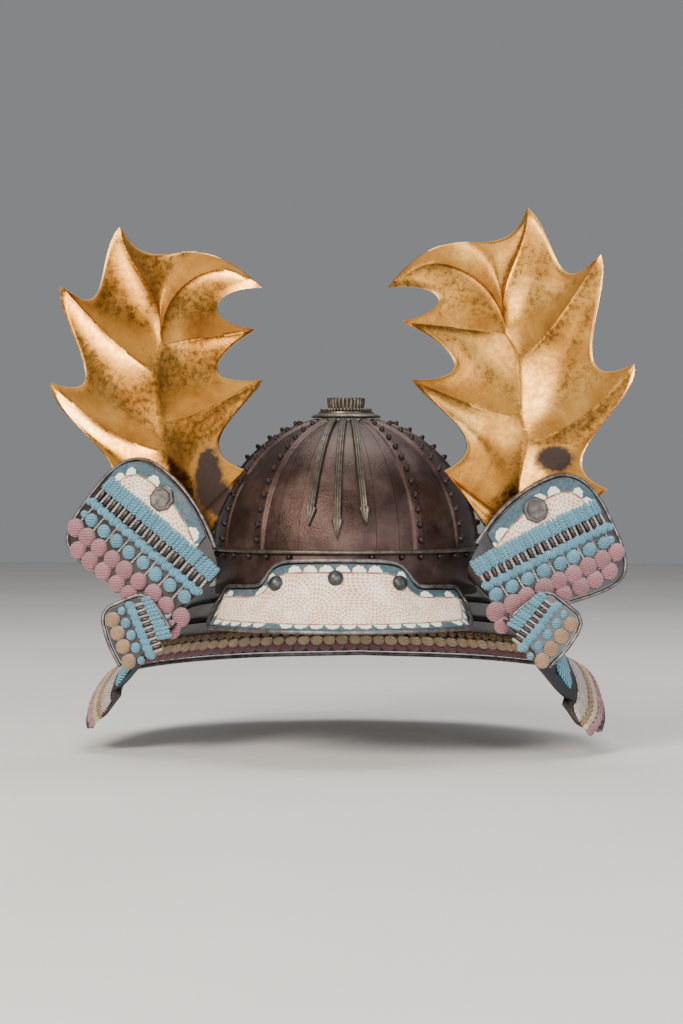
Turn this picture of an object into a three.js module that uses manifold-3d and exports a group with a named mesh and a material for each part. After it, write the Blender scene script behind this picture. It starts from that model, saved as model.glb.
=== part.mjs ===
// Kabuto: a Japanese riveted-bowl helmet with visor, laced neck guard and two leaf crests.
// Millimetres, +Z up, the helmet faces -Y, +X is to the right of someone looking at its front.
// The origin is the centre of the bowl's mouth.
import * as THREE from 'three';
import { mergeVertices } from 'three/addons/utils/BufferGeometryUtils.js';
import Module from 'manifold-3d';

const wasm = await Module();
wasm.setup();

// ---------------------------------------------------------------- driving dimensions
const GAP = 0.3; // clearance kept between neighbouring pieces
const BOWL = { halfWidth: 107, halfLength: 122, bandTop: 36, height: 107, wall: 1.6 };
const PLATE = { lap: 6.5, joggle: 4, seamGap: 0.3, crownRadius: 25, rows: 7 };
const PLATE_EDGES = [16.5, 26.5, 34.8, 59.5, 86.4, 113.4, 140.3, 167.2]; // degrees from the front
const FIRST_LAPPED_EDGE = 2; // edges before this one are flush seams
const RIVET = {
  perRow: 11, sides: 5, lowRadius: 3, highRadius: 2, height: 3.6, foot: 0.6, inset: 0.42, firstRise: 5, lastRise: 68,
};
const BAND = { wall: 1.8, ridgeOut: 3.4, ridgeHeight: 4, steps: 32 };
const CROWN = { boreRadius: 10, washerRadius: 28.5, washerZ: 142.8, washerTop: 149.8, collarRadius: 15.4, collarTop: 159 };
const CROWN_STEPS = 18;
const PETALS = 9;
const RIB = { width: 6.2, height: 4, base: 0.9, topX: 8, topRise: 74, sideBottomX: 22, sideRise: 11, middleRise: 5.5 };
const PRONG = { thick: 2.5, front: -30, back: -18, levels: [[111, 8], [111, 24], [118, 48]] }; // levels: x and z
const VISOR = { wall: 1.8, halfAngle: 60, reach: 126, setBack: 34, halfWidth: 118, bottomZ: -21 };
// Studs on the visor; a place is degrees from the front and how far down the visor.
const STUD = { radius: 6, height: 4.5, places: { left: [-25.5, 0.24], middle: [-0.5, 0.19], right: [25.5, 0.23] } };
const LEAF = { wall: 2.4, relief: 8, fullSpan: 55, veinCells: 4 }; // leaves swell fully between tips this far apart
const LAME = { wall: 1.6, proud: 1.8, tuck: 0.045, count: 4 };
const EDGE_RADIUS = 1.7;
const LACE = { lift: 0.7, thin: 1.2, band: 3, rows: 2.6 };
const CREST = { radius: 10.5, thickness: 2.4, along: 0.56, across: 19.5 };

const deg = THREE.MathUtils.degToRad;
const lerp = THREE.MathUtils.lerp;
const range = (count) => Array.from({ length: count }, (_, i) => i);
const spread = (from, to, cells) => range(cells + 1).map((i) => lerp(from, to, i / cells));
const vec = (x, y, z) => new THREE.Vector3(x, y, z);
const SIDES = { left: -1, right: 1 };

// ---------------------------------------------------------------- materials
const finish = (color, roughness, metalness) =>
  new THREE.MeshStandardMaterial({ color, roughness, metalness, side: THREE.FrontSide });
const RUSSET_IRON = finish(0x54403c, 0.55, 0.7);
const BRONZE = finish(0x6b655c, 0.45, 0.9);
const GILT = finish(0xb07a35, 0.3, 1);
const DARK_IRON = finish(0x45464a, 0.4, 0.9);
const LACQUER = finish(0x1d1212, 0.3, 0);
const LEATHER = finish(0xd8c6ae, 0.8, 0);
const BLUE_SILK = finish(0x5ba6bc, 0.85, 0);
const PINK_SILK = finish(0xb5757d, 0.85, 0);
const TAN_SILK = finish(0xb79b78, 0.85, 0);

// ---------------------------------------------------------------- mesh helpers
function signedVolume(positions, indices) {
  let volume = 0;
  const [a, b, c] = [vec(0, 0, 0), vec(0, 0, 0), vec(0, 0, 0)];
  for (let i = 0; i < indices.length; i += 3) {
    a.fromArray(positions, indices[i] * 3);
    b.fromArray(positions, indices[i + 1] * 3);
    c.fromArray(positions, indices[i + 2] * 3);
    volume += a.dot(b.cross(c)) / 6;
  }
  return volume;
}

// A closed geometry from points and triangles, turned so that its faces point out.
function closed(points, triangles) {
  const positions = points.flatMap((p) => [p.x, p.y, p.z]);
  const outward = signedVolume(positions, triangles.flat()) > 0;
  const faces = outward ? triangles : triangles.map(([a, b, c]) => [a, c, b]);
  const geometry = new THREE.BufferGeometry();
  geometry.setAttribute('position', new THREE.Float32BufferAttribute(positions, 3));
  geometry.setIndex(faces.flat());
  return geometry;
}

// A wall between two grids of points, [column][row]; wrap joins the last column to the first.
function wall(outer, inner, wrap = false) {
  const columns = outer.length;
  const rows = outer[0].length;
  const points = [...outer.flat(), ...inner.flat()];
  const front = (c, r) => (c % columns) * rows + r;
  const back = (c, r) => columns * rows + front(c, r);
  const triangles = [];
  const quad = (a, b, c, d) => triangles.push([a, b, c], [a, c, d]);
  const lastColumn = wrap ? columns : columns - 1;
  for (let c = 0; c < lastColumn; c += 1) {
    for (let r = 0; r < rows - 1; r += 1) {
      quad(front(c, r), front(c + 1, r), front(c + 1, r + 1), front(c, r + 1));
      quad(back(c, r), back(c, r + 1), back(c + 1, r + 1), back(c + 1, r));
    }
    quad(front(c, 0), back(c, 0), back(c + 1, 0), front(c + 1, 0));
    quad(front(c, rows - 1), front(c + 1, rows - 1), back(c + 1, rows - 1), back(c, rows - 1));
  }
  if (!wrap) {
    const end = columns - 1;
    for (let r = 0; r < rows - 1; r += 1) {
      quad(front(0, r), front(0, r + 1), back(0, r + 1), back(0, r));
      quad(front(end, r), back(end, r), back(end, r + 1), front(end, r + 1));
    }
  }
  return closed(points, triangles);
}

// A solid through rings of equal point count; ring ends are closed by fans, or joined by wrap.
function loft(rings, wrap = false) {
  const count = rings[0].length;
  const points = rings.flat();
  const triangles = [];
  const at = (ring, i) => (ring % rings.length) * count + (i % count);
  const last = wrap ? rings.length : rings.length - 1;
  for (let ring = 0; ring < last; ring += 1) {
    for (let i = 0; i < count; i += 1) {
      triangles.push([at(ring, i), at(ring + 1, i), at(ring + 1, i + 1)]);
      triangles.push([at(ring, i), at(ring + 1, i + 1), at(ring, i + 1)]);
    }
  }
  if (!wrap) {
    for (let i = 1; i < count - 1; i += 1) {
      triangles.push([at(0, 0), at(0, i), at(0, i + 1)]);
      triangles.push([at(rings.length - 1, 0), at(rings.length - 1, i + 1), at(rings.length - 1, i)]);
    }
  }
  return closed(points, triangles);
}

// A round bar along a line of points.
function bar(path, radius, sides = 5, wrap = false) {
  const count = path.length;
  let normal = null;
  const rings = path.map((p, i) => {
    const next = path[wrap ? (i + 1) % count : Math.min(i + 1, count - 1)];
    const previous = path[wrap ? (i + count - 1) % count : Math.max(i - 1, 0)];
    const tangent = next.clone().sub(previous).normalize();
    normal ??= Math.abs(tangent.y) < 0.9 ? vec(0, 1, 0) : vec(0, 0, 1);
    normal = normal.clone().addScaledVector(tangent, -normal.dot(tangent)).normalize();
    const across = tangent.clone().cross(normal);
    return spread(0, 2 * Math.PI, sides).slice(0, sides).map((turn) =>
      p.clone().addScaledVector(normal, radius * Math.cos(turn))
        .addScaledVector(across, radius * Math.sin(turn)));
  });
  return loft(rings, wrap);
}

// Outward unit normals of a grid of points, [column][row], from its neighbours.
function gridNormals(grid) {
  const columns = grid.length;
  const rows = grid[0].length;
  return grid.map((line, c) => line.map((_, r) => {
    const along = grid[Math.min(c + 1, columns - 1)][r].clone().sub(grid[Math.max(c - 1, 0)][r]);
    const down = line[Math.min(r + 1, rows - 1)].clone().sub(line[Math.max(r - 1, 0)]);
    return along.cross(down).normalize();
  }));
}

const lifted = (grid, normals, lift) =>
  grid.map((line, c) => line.map((p, r) => {
    const height = typeof lift === 'function' ? lift(c, r) : lift;
    return p.clone().addScaledVector(normals[c][r], height);
  }));

const toManifold = (geometry) => {
  const bare = geometry.clone();
  bare.deleteAttribute('normal');
  bare.deleteAttribute('uv');
  const merged = mergeVertices(bare, 1e-4);
  return new wasm.Manifold(new wasm.Mesh({
    numProp: 3,
    vertProperties: new Float32Array(merged.attributes.position.array),
    triVerts: new Uint32Array(merged.index.array),
  }));
};

function joined(geometries) {
  const whole = geometries.map(toManifold).reduce((sum, part) => sum.add(part));
  const mesh = whole.getMesh();
  const geometry = new THREE.BufferGeometry();
  geometry.setAttribute('position', new THREE.BufferAttribute(mesh.vertProperties, 3));
  geometry.setIndex(new THREE.BufferAttribute(mesh.triVerts, 1));
  return geometry;
}

function mirrored(geometry) {
  const copy = geometry.clone().scale(-1, 1, 1);
  const index = copy.index.array.slice();
  for (let i = 0; i < index.length; i += 3) {
    [index[i + 1], index[i + 2]] = [index[i + 2], index[i + 1]];
  }
  copy.setIndex(new THREE.BufferAttribute(index, 1));
  return copy;
}

// A smooth value from a table's column: cubic between rows, with slopes from the neighbours.
function smooth(table, key, column, at) {
  const last = table.length - 1;
  let i = table.findIndex((row) => row[key] > at) - 1;
  if (i < 0) i = at <= table[0][key] ? 0 : last - 1;
  const slope = (k) => {
    const [before, after] = [table[Math.max(k - 1, 0)], table[Math.min(k + 1, last)]];
    return (after[column] - before[column]) / (after[key] - before[key]);
  };
  const [a, b] = [table[i], table[i + 1]];
  const span = b[key] - a[key];
  const t = (at - a[key]) / span;
  return (2 * t ** 3 - 3 * t ** 2 + 1) * a[column] + (t ** 3 - 2 * t ** 2 + t) * span * slope(i)
    + (3 * t ** 2 - 2 * t ** 3) * b[column] + (t ** 3 - t ** 2) * span * slope(i + 1);
}

const kabuto = new THREE.Group();
function add(name, geometry, material) {
  const mesh = new THREE.Mesh(geometry, material);
  mesh.name = name;
  kabuto.add(mesh);
  return mesh;
}

// ---------------------------------------------------------------- bowl
// A point on the dome: turn from the front towards +X, rise above the waist band, lift off it.
function domePoint(turn, rise, lift = 0) {
  const { halfWidth, halfLength, height, bandTop } = BOWL;
  const unit = vec(Math.sin(turn) * Math.cos(rise), -Math.cos(turn) * Math.cos(rise), Math.sin(rise));
  const normal = vec(unit.x / halfWidth, unit.y / halfLength, unit.z / height).normalize();
  const point = vec(unit.x * halfWidth, unit.y * halfLength, unit.z * height + bandTop);
  return point.addScaledVector(normal, lift);
}

// Turn that covers a distance along the dome's surface at one level.
function turnOf(distance, turn, rise) {
  const { halfWidth, halfLength } = BOWL;
  return distance / (Math.cos(rise) * Math.hypot(halfWidth * Math.cos(turn), halfLength * Math.sin(turn)));
}

const RISE_START = Math.asin(1.6 / BOWL.height);
const RISE_END = Math.acos(PLATE.crownRadius / BOWL.halfWidth);
const LAP_LIFT = BOWL.wall + GAP;

// Laps grow narrower towards the crown.
const lapNarrowing = (rise) => 0.6 + 0.4 * Math.cos(rise);

function rivet(turn, rise, radius) {
  const base = domePoint(turn, rise, LAP_LIFT - RIVET.foot);
  const out = domePoint(turn, rise, LAP_LIFT + 1).sub(base).normalize();
  const across = vec(0, 0, 1).cross(out).normalize();
  const up = out.clone().cross(across);
  const foot = range(RIVET.sides).map((i) => base.clone()
    .addScaledVector(across, radius * Math.cos((i * 2 * Math.PI) / RIVET.sides))
    .addScaledVector(up, radius * Math.sin((i * 2 * Math.PI) / RIVET.sides)));
  const tip = RIVET.sides;
  const flanks = range(RIVET.sides).map((i) => [i, (i + 1) % RIVET.sides, tip]);
  const floor = range(RIVET.sides - 2).map((i) => [0, i + 2, i + 1]);
  const apex = base.clone().addScaledVector(out, RIVET.height + RIVET.foot);
  return closed([...foot, apex], [...flanks, ...floor]);
}

// One iron plate from turn `from` to `to`; a lapped plate steps out over the one behind it.
function bowlPlate(from, to, laps, cells) {
  const rises = spread(RISE_START, RISE_END, PLATE.rows);
  const column = (turn, lift, shift) => ({ turn, lift, shift });
  const columns = spread(from, to, cells).map((turn) => column(turn, 0, 0));
  columns[0].shift = PLATE.seamGap / 2;
  columns[cells].shift = -PLATE.seamGap / 2;
  if (laps) {
    columns[cells] = column(to, 0, -PLATE.joggle);
    columns.push(column(to, LAP_LIFT, -0.8), column(to, LAP_LIFT, PLATE.lap));
  }
  const place = (c, rise, lift) => {
    const narrowing = c.shift > 1 ? lapNarrowing(rise) : 1;
    return domePoint(c.turn + turnOf(c.shift * narrowing, c.turn, rise), rise, c.lift + lift);
  };
  const outer = columns.map((c) => rises.map((rise) => place(c, rise, 0)));
  const inner = columns.map((c) => rises.map((rise) => place(c, rise, -BOWL.wall)));
  const shell = wall(outer, inner);
  if (!laps) return shell;
  const rivets = spread(deg(RIVET.firstRise), deg(RIVET.lastRise), RIVET.perRow - 1).map((rise, i) => {
    const radius = lerp(RIVET.lowRadius, RIVET.highRadius, i / (RIVET.perRow - 1));
    return rivet(to + turnOf(PLATE.lap * RIVET.inset * lapNarrowing(rise), to, rise), rise, radius);
  });
  return joined([shell, ...rivets]);
}

function addBowl() {
  const firstEdge = deg(PLATE_EDGES[0]);
  add('plate_front', bowlPlate(-firstEdge, firstEdge, false, 4), RUSSET_IRON);
  PLATE_EDGES.slice(0, -1).forEach((edge, i) => {
    const laps = i + 1 >= FIRST_LAPPED_EDGE;
    const cells = PLATE_EDGES[i + 1] - edge > 15 ? 2 : 1;
    const right = bowlPlate(deg(edge), deg(PLATE_EDGES[i + 1]), laps, cells);
    add(`plate_right_${i + 1}`, right, RUSSET_IRON);
    add(`plate_left_${i + 1}`, mirrored(right), RUSSET_IRON);
  });
  const lastEdge = deg(PLATE_EDGES.at(-1));
  add('plate_back', bowlPlate(lastEdge, 2 * Math.PI - lastEdge, false, 3), RUSSET_IRON);
}

// The upright band round the foot of the bowl, with the half-round ridge along its top.
function addWaistBand() {
  const { wall: thick, ridgeOut, ridgeHeight } = BAND;
  const top = BOWL.bandTop + 0.6;
  const section = [
    [-thick, 0], [0, 0], [0, top - ridgeHeight - 0.4], [ridgeOut * 0.8, top - ridgeHeight],
    [ridgeOut, top - ridgeHeight / 2], [ridgeOut * 0.8, top - 0.5], [0, top], [-thick, top],
  ];
  const rings = spread(0, 2 * Math.PI, BAND.steps).slice(0, BAND.steps).map((turn) => {
    const [x, y] = [Math.sin(turn), -Math.cos(turn)];
    const normal = vec(x / BOWL.halfWidth, y / BOWL.halfLength, 0).normalize();
    return section.map(([out, z]) => vec(BOWL.halfWidth * x, BOWL.halfLength * y, z).addScaledVector(normal, out));
  });
  add('waist_band', loft(rings, true), RUSSET_IRON);
}

// ---------------------------------------------------------------- crown fitting and front ribs
function lathe(profile, steps) {
  const geometry = new THREE.LatheGeometry(profile.map(([r, z]) => new THREE.Vector2(r, z)), steps);
  geometry.rotateX(Math.PI / 2);
  geometry.deleteAttribute('normal');
  geometry.deleteAttribute('uv');
  return mergeVertices(geometry, 1e-4);
}

function addCrown() {
  const { boreRadius, washerRadius, washerZ, washerTop, collarRadius, collarTop } = CROWN;
  const base = [
    [boreRadius, washerZ], [washerRadius, washerZ], [washerRadius, washerZ + 1.2], [24, washerZ + 3.6],
    [collarRadius + 2, washerZ + 4.6], [collarRadius + 2.6, washerZ + 5.8], [collarRadius + 2, washerTop],
    [boreRadius, washerTop], [boreRadius, washerZ],
  ];
  add('crown_base', lathe(base, CROWN_STEPS), BRONZE);
  const bottom = washerTop + GAP;
  const middle = (bottom + collarTop) / 2;
  const turns = spread(0, 2 * Math.PI, PETALS * 2).slice(0, PETALS * 2);
  const ring = (radius, z, flute) => turns.map((turn, i) => {
    const r = radius + (i % 2 ? flute : 0);
    return vec(r * Math.cos(turn), r * Math.sin(turn), z);
  });
  const levels = [
    { z: bottom, out: -1, flute: 0, hollow: -3.4 }, { z: middle, out: 0, flute: -1.2, hollow: -2.8 },
    { z: collarTop, out: 1, flute: -1.6, hollow: -1.6 },
  ];
  const outer = levels.map(({ z, out, flute }) => ring(collarRadius + out, z, flute));
  const inner = levels.map(({ z, hollow }) => ring(collarRadius + hollow, z, 0));
  const swap = (rings) => turns.map((_, i) => rings.map((line) => line[i]));
  add('crown_collar', wall(swap(outer), swap(inner), true), BRONZE);
}

// The spear point at a rib's foot: rise above its end (radians), width and height against the shaft's.
const SPEAR = [
  { above: 0.13, width: 0.9, height: 1 }, { above: 0.09, width: 1.35, height: 0.8 }, { above: 0, width: 0.12, height: 0.5 },
];
const SHAFT_CELLS = 7;

// A grooved rib that runs down the front of the bowl and ends in a spear point.
function rib(bottomX, topX, endRise) {
  const shaft = spread(deg(RIB.topRise), deg(endRise) + SPEAR[0].above, SHAFT_CELLS).slice(0, -1);
  const stations = [...shaft, ...SPEAR.map(({ above }) => deg(endRise) + above)];
  const widths = [...shaft.map(() => 1), ...SPEAR.map(({ width }) => width)];
  const heights = [...shaft.map(() => 1), ...SPEAR.map(({ height }) => height)];
  const rings = stations.map((rise, i) => {
    const down = (deg(RIB.topRise) - rise) / (deg(RIB.topRise) - deg(endRise));
    const x = lerp(topX, bottomX, down);
    const turn = Math.asin(x / (BOWL.halfWidth * Math.cos(rise)));
    const half = (RIB.width / 2) * widths[i];
    const tall = RIB.height * heights[i];
    return [[-1, RIB.base], [-0.8, tall], [-0.25, tall * 0.75], [0.25, tall * 0.75], [0.8, tall], [1, RIB.base]]
      .map(([side, lift]) => domePoint(turn + turnOf(side * half, turn, rise), rise, lift));
  });
  return loft(rings);
}

function addRibs() {
  add('rib_left', rib(-RIB.sideBottomX, -RIB.topX, RIB.sideRise), BRONZE);
  add('rib_middle', rib(0, 0, RIB.middleRise), BRONZE);
  add('rib_right', rib(RIB.sideBottomX, RIB.topX, RIB.sideRise), BRONZE);
}

// ---------------------------------------------------------------- visor
const VISOR_ANGLES = [-60, -57, -50, -41, -34.5, -31.5, -28, -22, -14, -7, 0, 7, 14, 22, 28, 31.5, 34.5, 41, 50, 57, 60];
const VISOR_TOP = [
  { turn: 0, z: 27.6 }, { turn: 18, z: 26.8 }, { turn: 24, z: 25 }, { turn: 28, z: 21 }, { turn: 31.5, z: 12.5 },
  { turn: 34.5, z: 7.6 }, { turn: 41, z: 6.3 }, { turn: 50, z: 5.6 }, { turn: 56, z: 4.2 }, { turn: 60, z: -2 },
];

// A point on the visor: turn from the front, down from its upper (0) to its lower edge (1).
function visorPoint(turn, down) {
  const angle = Math.abs(THREE.MathUtils.radToDeg(turn));
  const stand = 1.2 + VISOR.wall;
  const [x, y] = [Math.sin(turn), -Math.cos(turn)];
  const top = vec((BOWL.halfWidth + stand) * x, (BOWL.halfLength + stand) * y, smooth(VISOR_TOP, 'turn', 'z', angle));
  const bottom = vec(VISOR.halfWidth * x, VISOR.reach * y - VISOR.setBack, VISOR.bottomZ);
  const bend = vec(top.x * 1.02, top.y * 1.02, Math.min(-2, top.z - 6));
  return new THREE.QuadraticBezierCurve3(top, bend, bottom).getPoint(down);
}

function addVisor() {
  const limit = deg(VISOR.halfAngle);
  const rows = spread(0, 1, 4);
  const grid = VISOR_ANGLES.map((angle) => rows.map((down) => visorPoint(deg(angle), down)));
  const normals = gridNormals(grid);
  const middle = (VISOR_ANGLES.length - 1) / 2;
  add('visor', wall(grid, lifted(grid, normals, VISOR.wall * Math.sign(normals[middle][2].y))), LEATHER);
  const stand = EDGE_RADIUS + GAP + 0.6;
  const inside = VISOR_ANGLES.slice(1, -1).map(deg);
  const upper = inside.map((turn) => visorPoint(turn, 0).add(vec(0, 0, stand)));
  const end = (sign) => rows.map((down) => visorPoint(sign * limit, down).add(vec(sign * stand, down * 1.5, 0)));
  const lower = inside.map((turn) => visorPoint(turn, 1)
    .add(vec(Math.sin(turn), -Math.cos(turn), -0.8).normalize().multiplyScalar(stand + 0.9)));
  const loop = [...upper, ...end(1), ...lower.reverse(), ...end(-1).reverse()];
  add('visor_rim', bar(loop, EDGE_RADIUS, 5, true), DARK_IRON);
  Object.entries(STUD.places).forEach(([name, [angle, down]]) => {
    const centre = visorPoint(deg(angle), down);
    const along = visorPoint(deg(angle + 1), down).sub(centre);
    const drop = visorPoint(deg(angle), down + 0.02).sub(centre);
    const out = drop.cross(along).normalize();
    const turn = new THREE.Quaternion().setFromUnitVectors(vec(0, 0, 1), out);
    const dome = lathe([[0, 0], [STUD.radius, 0], [STUD.radius * 0.86, STUD.height * 0.55],
      [STUD.radius * 0.45, STUD.height * 0.95], [0, STUD.height]], 8);
    const mesh = add(`stud_${name}`, dome, DARK_IRON);
    mesh.quaternion.copy(turn);
    mesh.position.copy(centre.addScaledVector(out, 1));
  });
}

// ---------------------------------------------------------------- leaf crests
// Flat leaf outline: across is outward, up is along the midrib, from the leaf's foot.
const LEAF_TIPS = {
  inner3: [-56.9, 64.7], inner2: [-82.6, 136.8], inner1: [-90.7, 182.9], hook: [-102.1, 209.6],
  top: [12.5, 274.3], outer1: [72.6, 237.8], outer2: [100.2, 149.6], outer3: [77.5, 49.4],
};
// The midrib from the leaf's foot up, the veins that leave it and the cells to its next point.
const LEAF_RIB = [
  { across: -2, up: 0, cells: 2, veins: ['stemInner', 'stemOuter'] },
  { across: 0, up: 24, cells: 1, veins: ['inner3'] },
  { across: 3, up: 42, cells: 4, veins: ['outer3'] },
  { across: 9, up: 86, cells: 2, veins: ['outer2'] },
  { across: 8, up: 109, cells: 3, veins: ['inner2'] },
  { across: 3.5, up: 151, cells: 2, veins: ['outer1'] },
  { across: -4.5, up: 174, cells: 4, veins: ['inner1'] },
  { across: -6.2, up: 182, cells: 0, veins: ['hook', 'top'] },
];
// The two handles of each vein's curve, between the midrib and its tip.
const LEAF_VEINS = {
  stemInner: [[-6, 0], [-10, 0]],
  inner3: [[-18, 36], [-38, 50]],
  inner2: [[-25, 110], [-54, 126]],
  inner1: [[-34, 178], [-62, 180]],
  hook: [[-19, 223], [-67, 250]],
  top: [[-19, 215], [15, 240]],
  outer1: [[34, 175], [52, 207]],
  outer2: [[48, 95], [77, 121]],
  outer3: [[24, 34], [52, 38]],
  stemOuter: [[1, 0], [4, 0]],
};
// The edge between neighbouring tips: two handles of its curve.
const LEAF_EDGES = [
  { from: 'stemInner', to: 'inner3', bend: [[-22, 18], [-40, 44]] },
  { from: 'inner3', to: 'inner2', bend: [[-9, 88], [-71, 115]] },
  { from: 'inner2', to: 'inner1', bend: [[-19, 137], [-60, 170]] },
  { from: 'inner1', to: 'hook', bend: [[-40, 196], [-63, 215]] },
  { from: 'hook', to: 'top', bend: [[-51, 277], [-11, 218]] },
  { from: 'top', to: 'outer1', bend: [[37, 252], [30, 194]] },
  { from: 'outer1', to: 'outer2', bend: [[83, 210], [32, 120]] },
  { from: 'outer2', to: 'outer3', bend: [[105, 116], [15, 72]] },
  { from: 'outer3', to: 'stemOuter', bend: [[48, 26], [26, 8]] },
];
// The leaves are cut by hand: how far the left leaf's tips stand from the right leaf's.
const LEAF_NUDGE = {
  left: {
    outer2: [-1, 3.5], outer1: [1.5, -4], top: [0, 2.5], hook: [1.5, 2.5], inner1: [2, -4.5], inner2: [-3.5, 0],
  },
  right: {},
};
const LEAF_PLACE = {
  left: { foot: [-120.4, -47.6, 34], lean: 4.9, turn: 16.5, wide: 0.993, tall: 0.967, slant: 0.105 },
  right: { foot: [136.9, -45, 35], lean: -0.3, turn: 13.9, wide: 1, tall: 1, slant: 0 },
};
const STEM_HALF = 11;

const ribNode = (vein) => LEAF_RIB.findIndex((node) => node.veins.includes(vein));
const ribLine = new THREE.SplineCurve(LEAF_RIB.map(({ across, up }) => new THREE.Vector2(across, up)));

// A flat point moved as far as a tip is nudged.
function nudged([x, y], nudge, tip) {
  const [dx, dy] = nudge[tip] ?? [0, 0];
  return new THREE.Vector2(x + dx, y + dy);
}

function leafVein(name, nudge) {
  const { across, up } = LEAF_RIB[ribNode(name)];
  const stem = { stemInner: [across - STEM_HALF, 0], stemOuter: [across + STEM_HALF, 0] }[name];
  const [low, high] = LEAF_VEINS[name];
  const root = new THREE.Vector2(across, up);
  const tip = nudged(LEAF_TIPS[name] ?? stem, nudge, name);
  return new THREE.CubicBezierCurve(root, new THREE.Vector2(...low), nudged(high, nudge, name), tip);
}

// Points of the midrib between the roots of two veins, in the order of the leaf's edge.
function ribStretch(from, to) {
  const [first, last] = [ribNode(from), ribNode(to)];
  if (first === last) return range(6).map(() => ribLine.getPoint(1));
  const [low, high] = [Math.min(first, last), Math.max(first, last)];
  const places = range(high - low).flatMap((k) => {
    const { cells } = LEAF_RIB[low + k];
    return range(cells).map((j) => low + k + j / cells);
  });
  const line = [...places, high].map((place) => ribLine.getPoint(place / (LEAF_RIB.length - 1)));
  return first < last ? line : line.reverse();
}

// Points of the sheet between two veins: a patch from the midrib out to the leaf's edge.
function leafSector({ from, to, bend }, nudge) {
  const [veinA, veinB] = [leafVein(from, nudge), leafVein(to, nudge)];
  const rib = ribStretch(from, to);
  const [startA, startB] = [rib[0], rib.at(-1)];
  const [tipA, tipB] = [veinA.getPoint(1), veinB.getPoint(1)];
  const edge = new THREE.CubicBezierCurve(tipA, nudged(bend[0], nudge, from), nudged(bend[1], nudge, to), tipB);
  const span = tipA.distanceTo(tipB);
  return spread(0, 1, rib.length - 1).map((s, i) => spread(0, 1, LEAF.veinCells).map((t) => {
    const [a, b, e] = [veinA.getPoint(t), veinB.getPoint(t), edge.getPoint(s)];
    const corner = startA.clone().multiplyScalar((1 - s) * (1 - t)).addScaledVector(startB, s * (1 - t))
      .addScaledVector(tipA, (1 - s) * t).addScaledVector(tipB, s * t);
    const p = a.multiplyScalar(1 - s).addScaledVector(b, s).addScaledVector(rib[i], 1 - t)
      .addScaledVector(e, t).sub(corner);
    const between = (4 * s * (1 - s)) ** 0.8;
    const outward = (1 - (1 - t) ** 3) * (1 - 0.45 * t);
    return vec(p.x, LEAF.relief * Math.min(1, span / LEAF.fullSpan) * between * outward, p.y);
  }));
}

// Thickens a sheet of triangles by moving a copy of it straight back, and walls its open edge.
function thickened(points, triangles, back) {
  const edges = new Map();
  triangles.forEach((t) => t.forEach((a, i) => edges.set(`${a}_${t[(i + 1) % 3]}`, [a, t[(i + 1) % 3]])));
  const count = points.length;
  const rear = points.map((p) => p.clone().add(back));
  const all = [...triangles, ...triangles.map(([a, b, c]) => [a + count, c + count, b + count])];
  edges.forEach(([a, b]) => {
    if (!edges.has(`${b}_${a}`)) all.push([b, a, a + count], [b, a + count, b + count]);
  });
  return closed([...points, ...rear], all);
}

function leaf(nudge) {
  const points = [];
  const triangles = [];
  const known = new Map();
  const indexOf = (p) => {
    const key = p.toArray().map((value) => value.toFixed(2)).join();
    if (!known.has(key)) known.set(key, points.push(p) - 1);
    return known.get(key);
  };
  LEAF_EDGES.forEach((edge) => {
    const ids = leafSector(edge, nudge).map((line) => line.map(indexOf));
    for (let s = 0; s < ids.length - 1; s += 1) {
      for (let t = 0; t < LEAF.veinCells; t += 1) {
        const [a, b, c, d] = [ids[s][t], ids[s + 1][t], ids[s + 1][t + 1], ids[s][t + 1]];
        if (a !== b) triangles.push([a, b, c]);
        if (c !== d) triangles.push([a, c, d]);
      }
    }
  });
  return thickened(points, triangles, vec(0, -LEAF.wall, 0));
}

// Leaf sheets bulge forward, towards -Y; each is leaned outward and turned back at its outer side.
function addLeaves() {
  Object.entries(SIDES).forEach(([side, sign]) => {
    const { foot, lean, turn, wide, tall, slant } = LEAF_PLACE[side];
    const stretch = new THREE.Matrix4().makeBasis(vec(wide, 0, 0), vec(0, 1, 0), vec(slant, 0, tall));
    let geometry = mirrored(leaf(LEAF_NUDGE[side]).rotateZ(Math.PI)).applyMatrix4(stretch);
    geometry = geometry.rotateY(deg(lean)).rotateZ(deg(turn));
    if (sign < 0) geometry = mirrored(geometry);
    add(`leaf_${side}`, geometry.translate(...foot), GILT);
    // A flat prong rises from the waist band behind the foot of the leaf.
    const { thick, front, back, levels } = PRONG;
    const rings = levels.map(([x, z]) => [[x, front], [x + thick, front], [x + thick, back], [x, back]]
      .map(([across, y]) => vec(sign * across, y, z)));
    add(`prong_${side}`, loft(rings), DARK_IRON);
  });
}

// ---------------------------------------------------------------- neck guard
// Sections of the guard from the middle of the back (0) to its front edge (1), for x > 0.
const GUARD = [
  { at: 0, topX: 0, topY: 127, topZ: 5, midX: 0, midY: 177, midZ: -32, rimX: 0, rimY: 225, rimZ: -65 },
  { at: 0.2, topX: 56, topY: 110, topZ: 5, midX: 79.5, midY: 153, midZ: -32, rimX: 104, rimY: 195, rimZ: -66 },
  { at: 0.4, topX: 97, topY: 64, topZ: 5, midX: 138, midY: 89, midZ: -33, rimX: 180, rimY: 112, rimZ: -68.5 },
  { at: 0.5, topX: 108, topY: 33, topZ: 5, midX: 153.6, midY: 46, midZ: -35, rimX: 200, rimY: 58, rimZ: -75 },
  { at: 0.6, topX: 112, topY: 0, topZ: 5, midX: 159, midY: 0, midZ: -39, rimX: 207, rimY: 0, rimZ: -90 },
  { at: 0.8, topX: 109.5, topY: -44, topZ: 9, midX: 162, midY: -42, midZ: -48, rimX: 204.5, rimY: -42, rimZ: -105 },
  { at: 1, topX: 99, topY: -84, topZ: 18, midX: 160, midY: -82, midZ: -58, rimX: 192, rimY: -77, rimZ: -113 },
];
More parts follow.
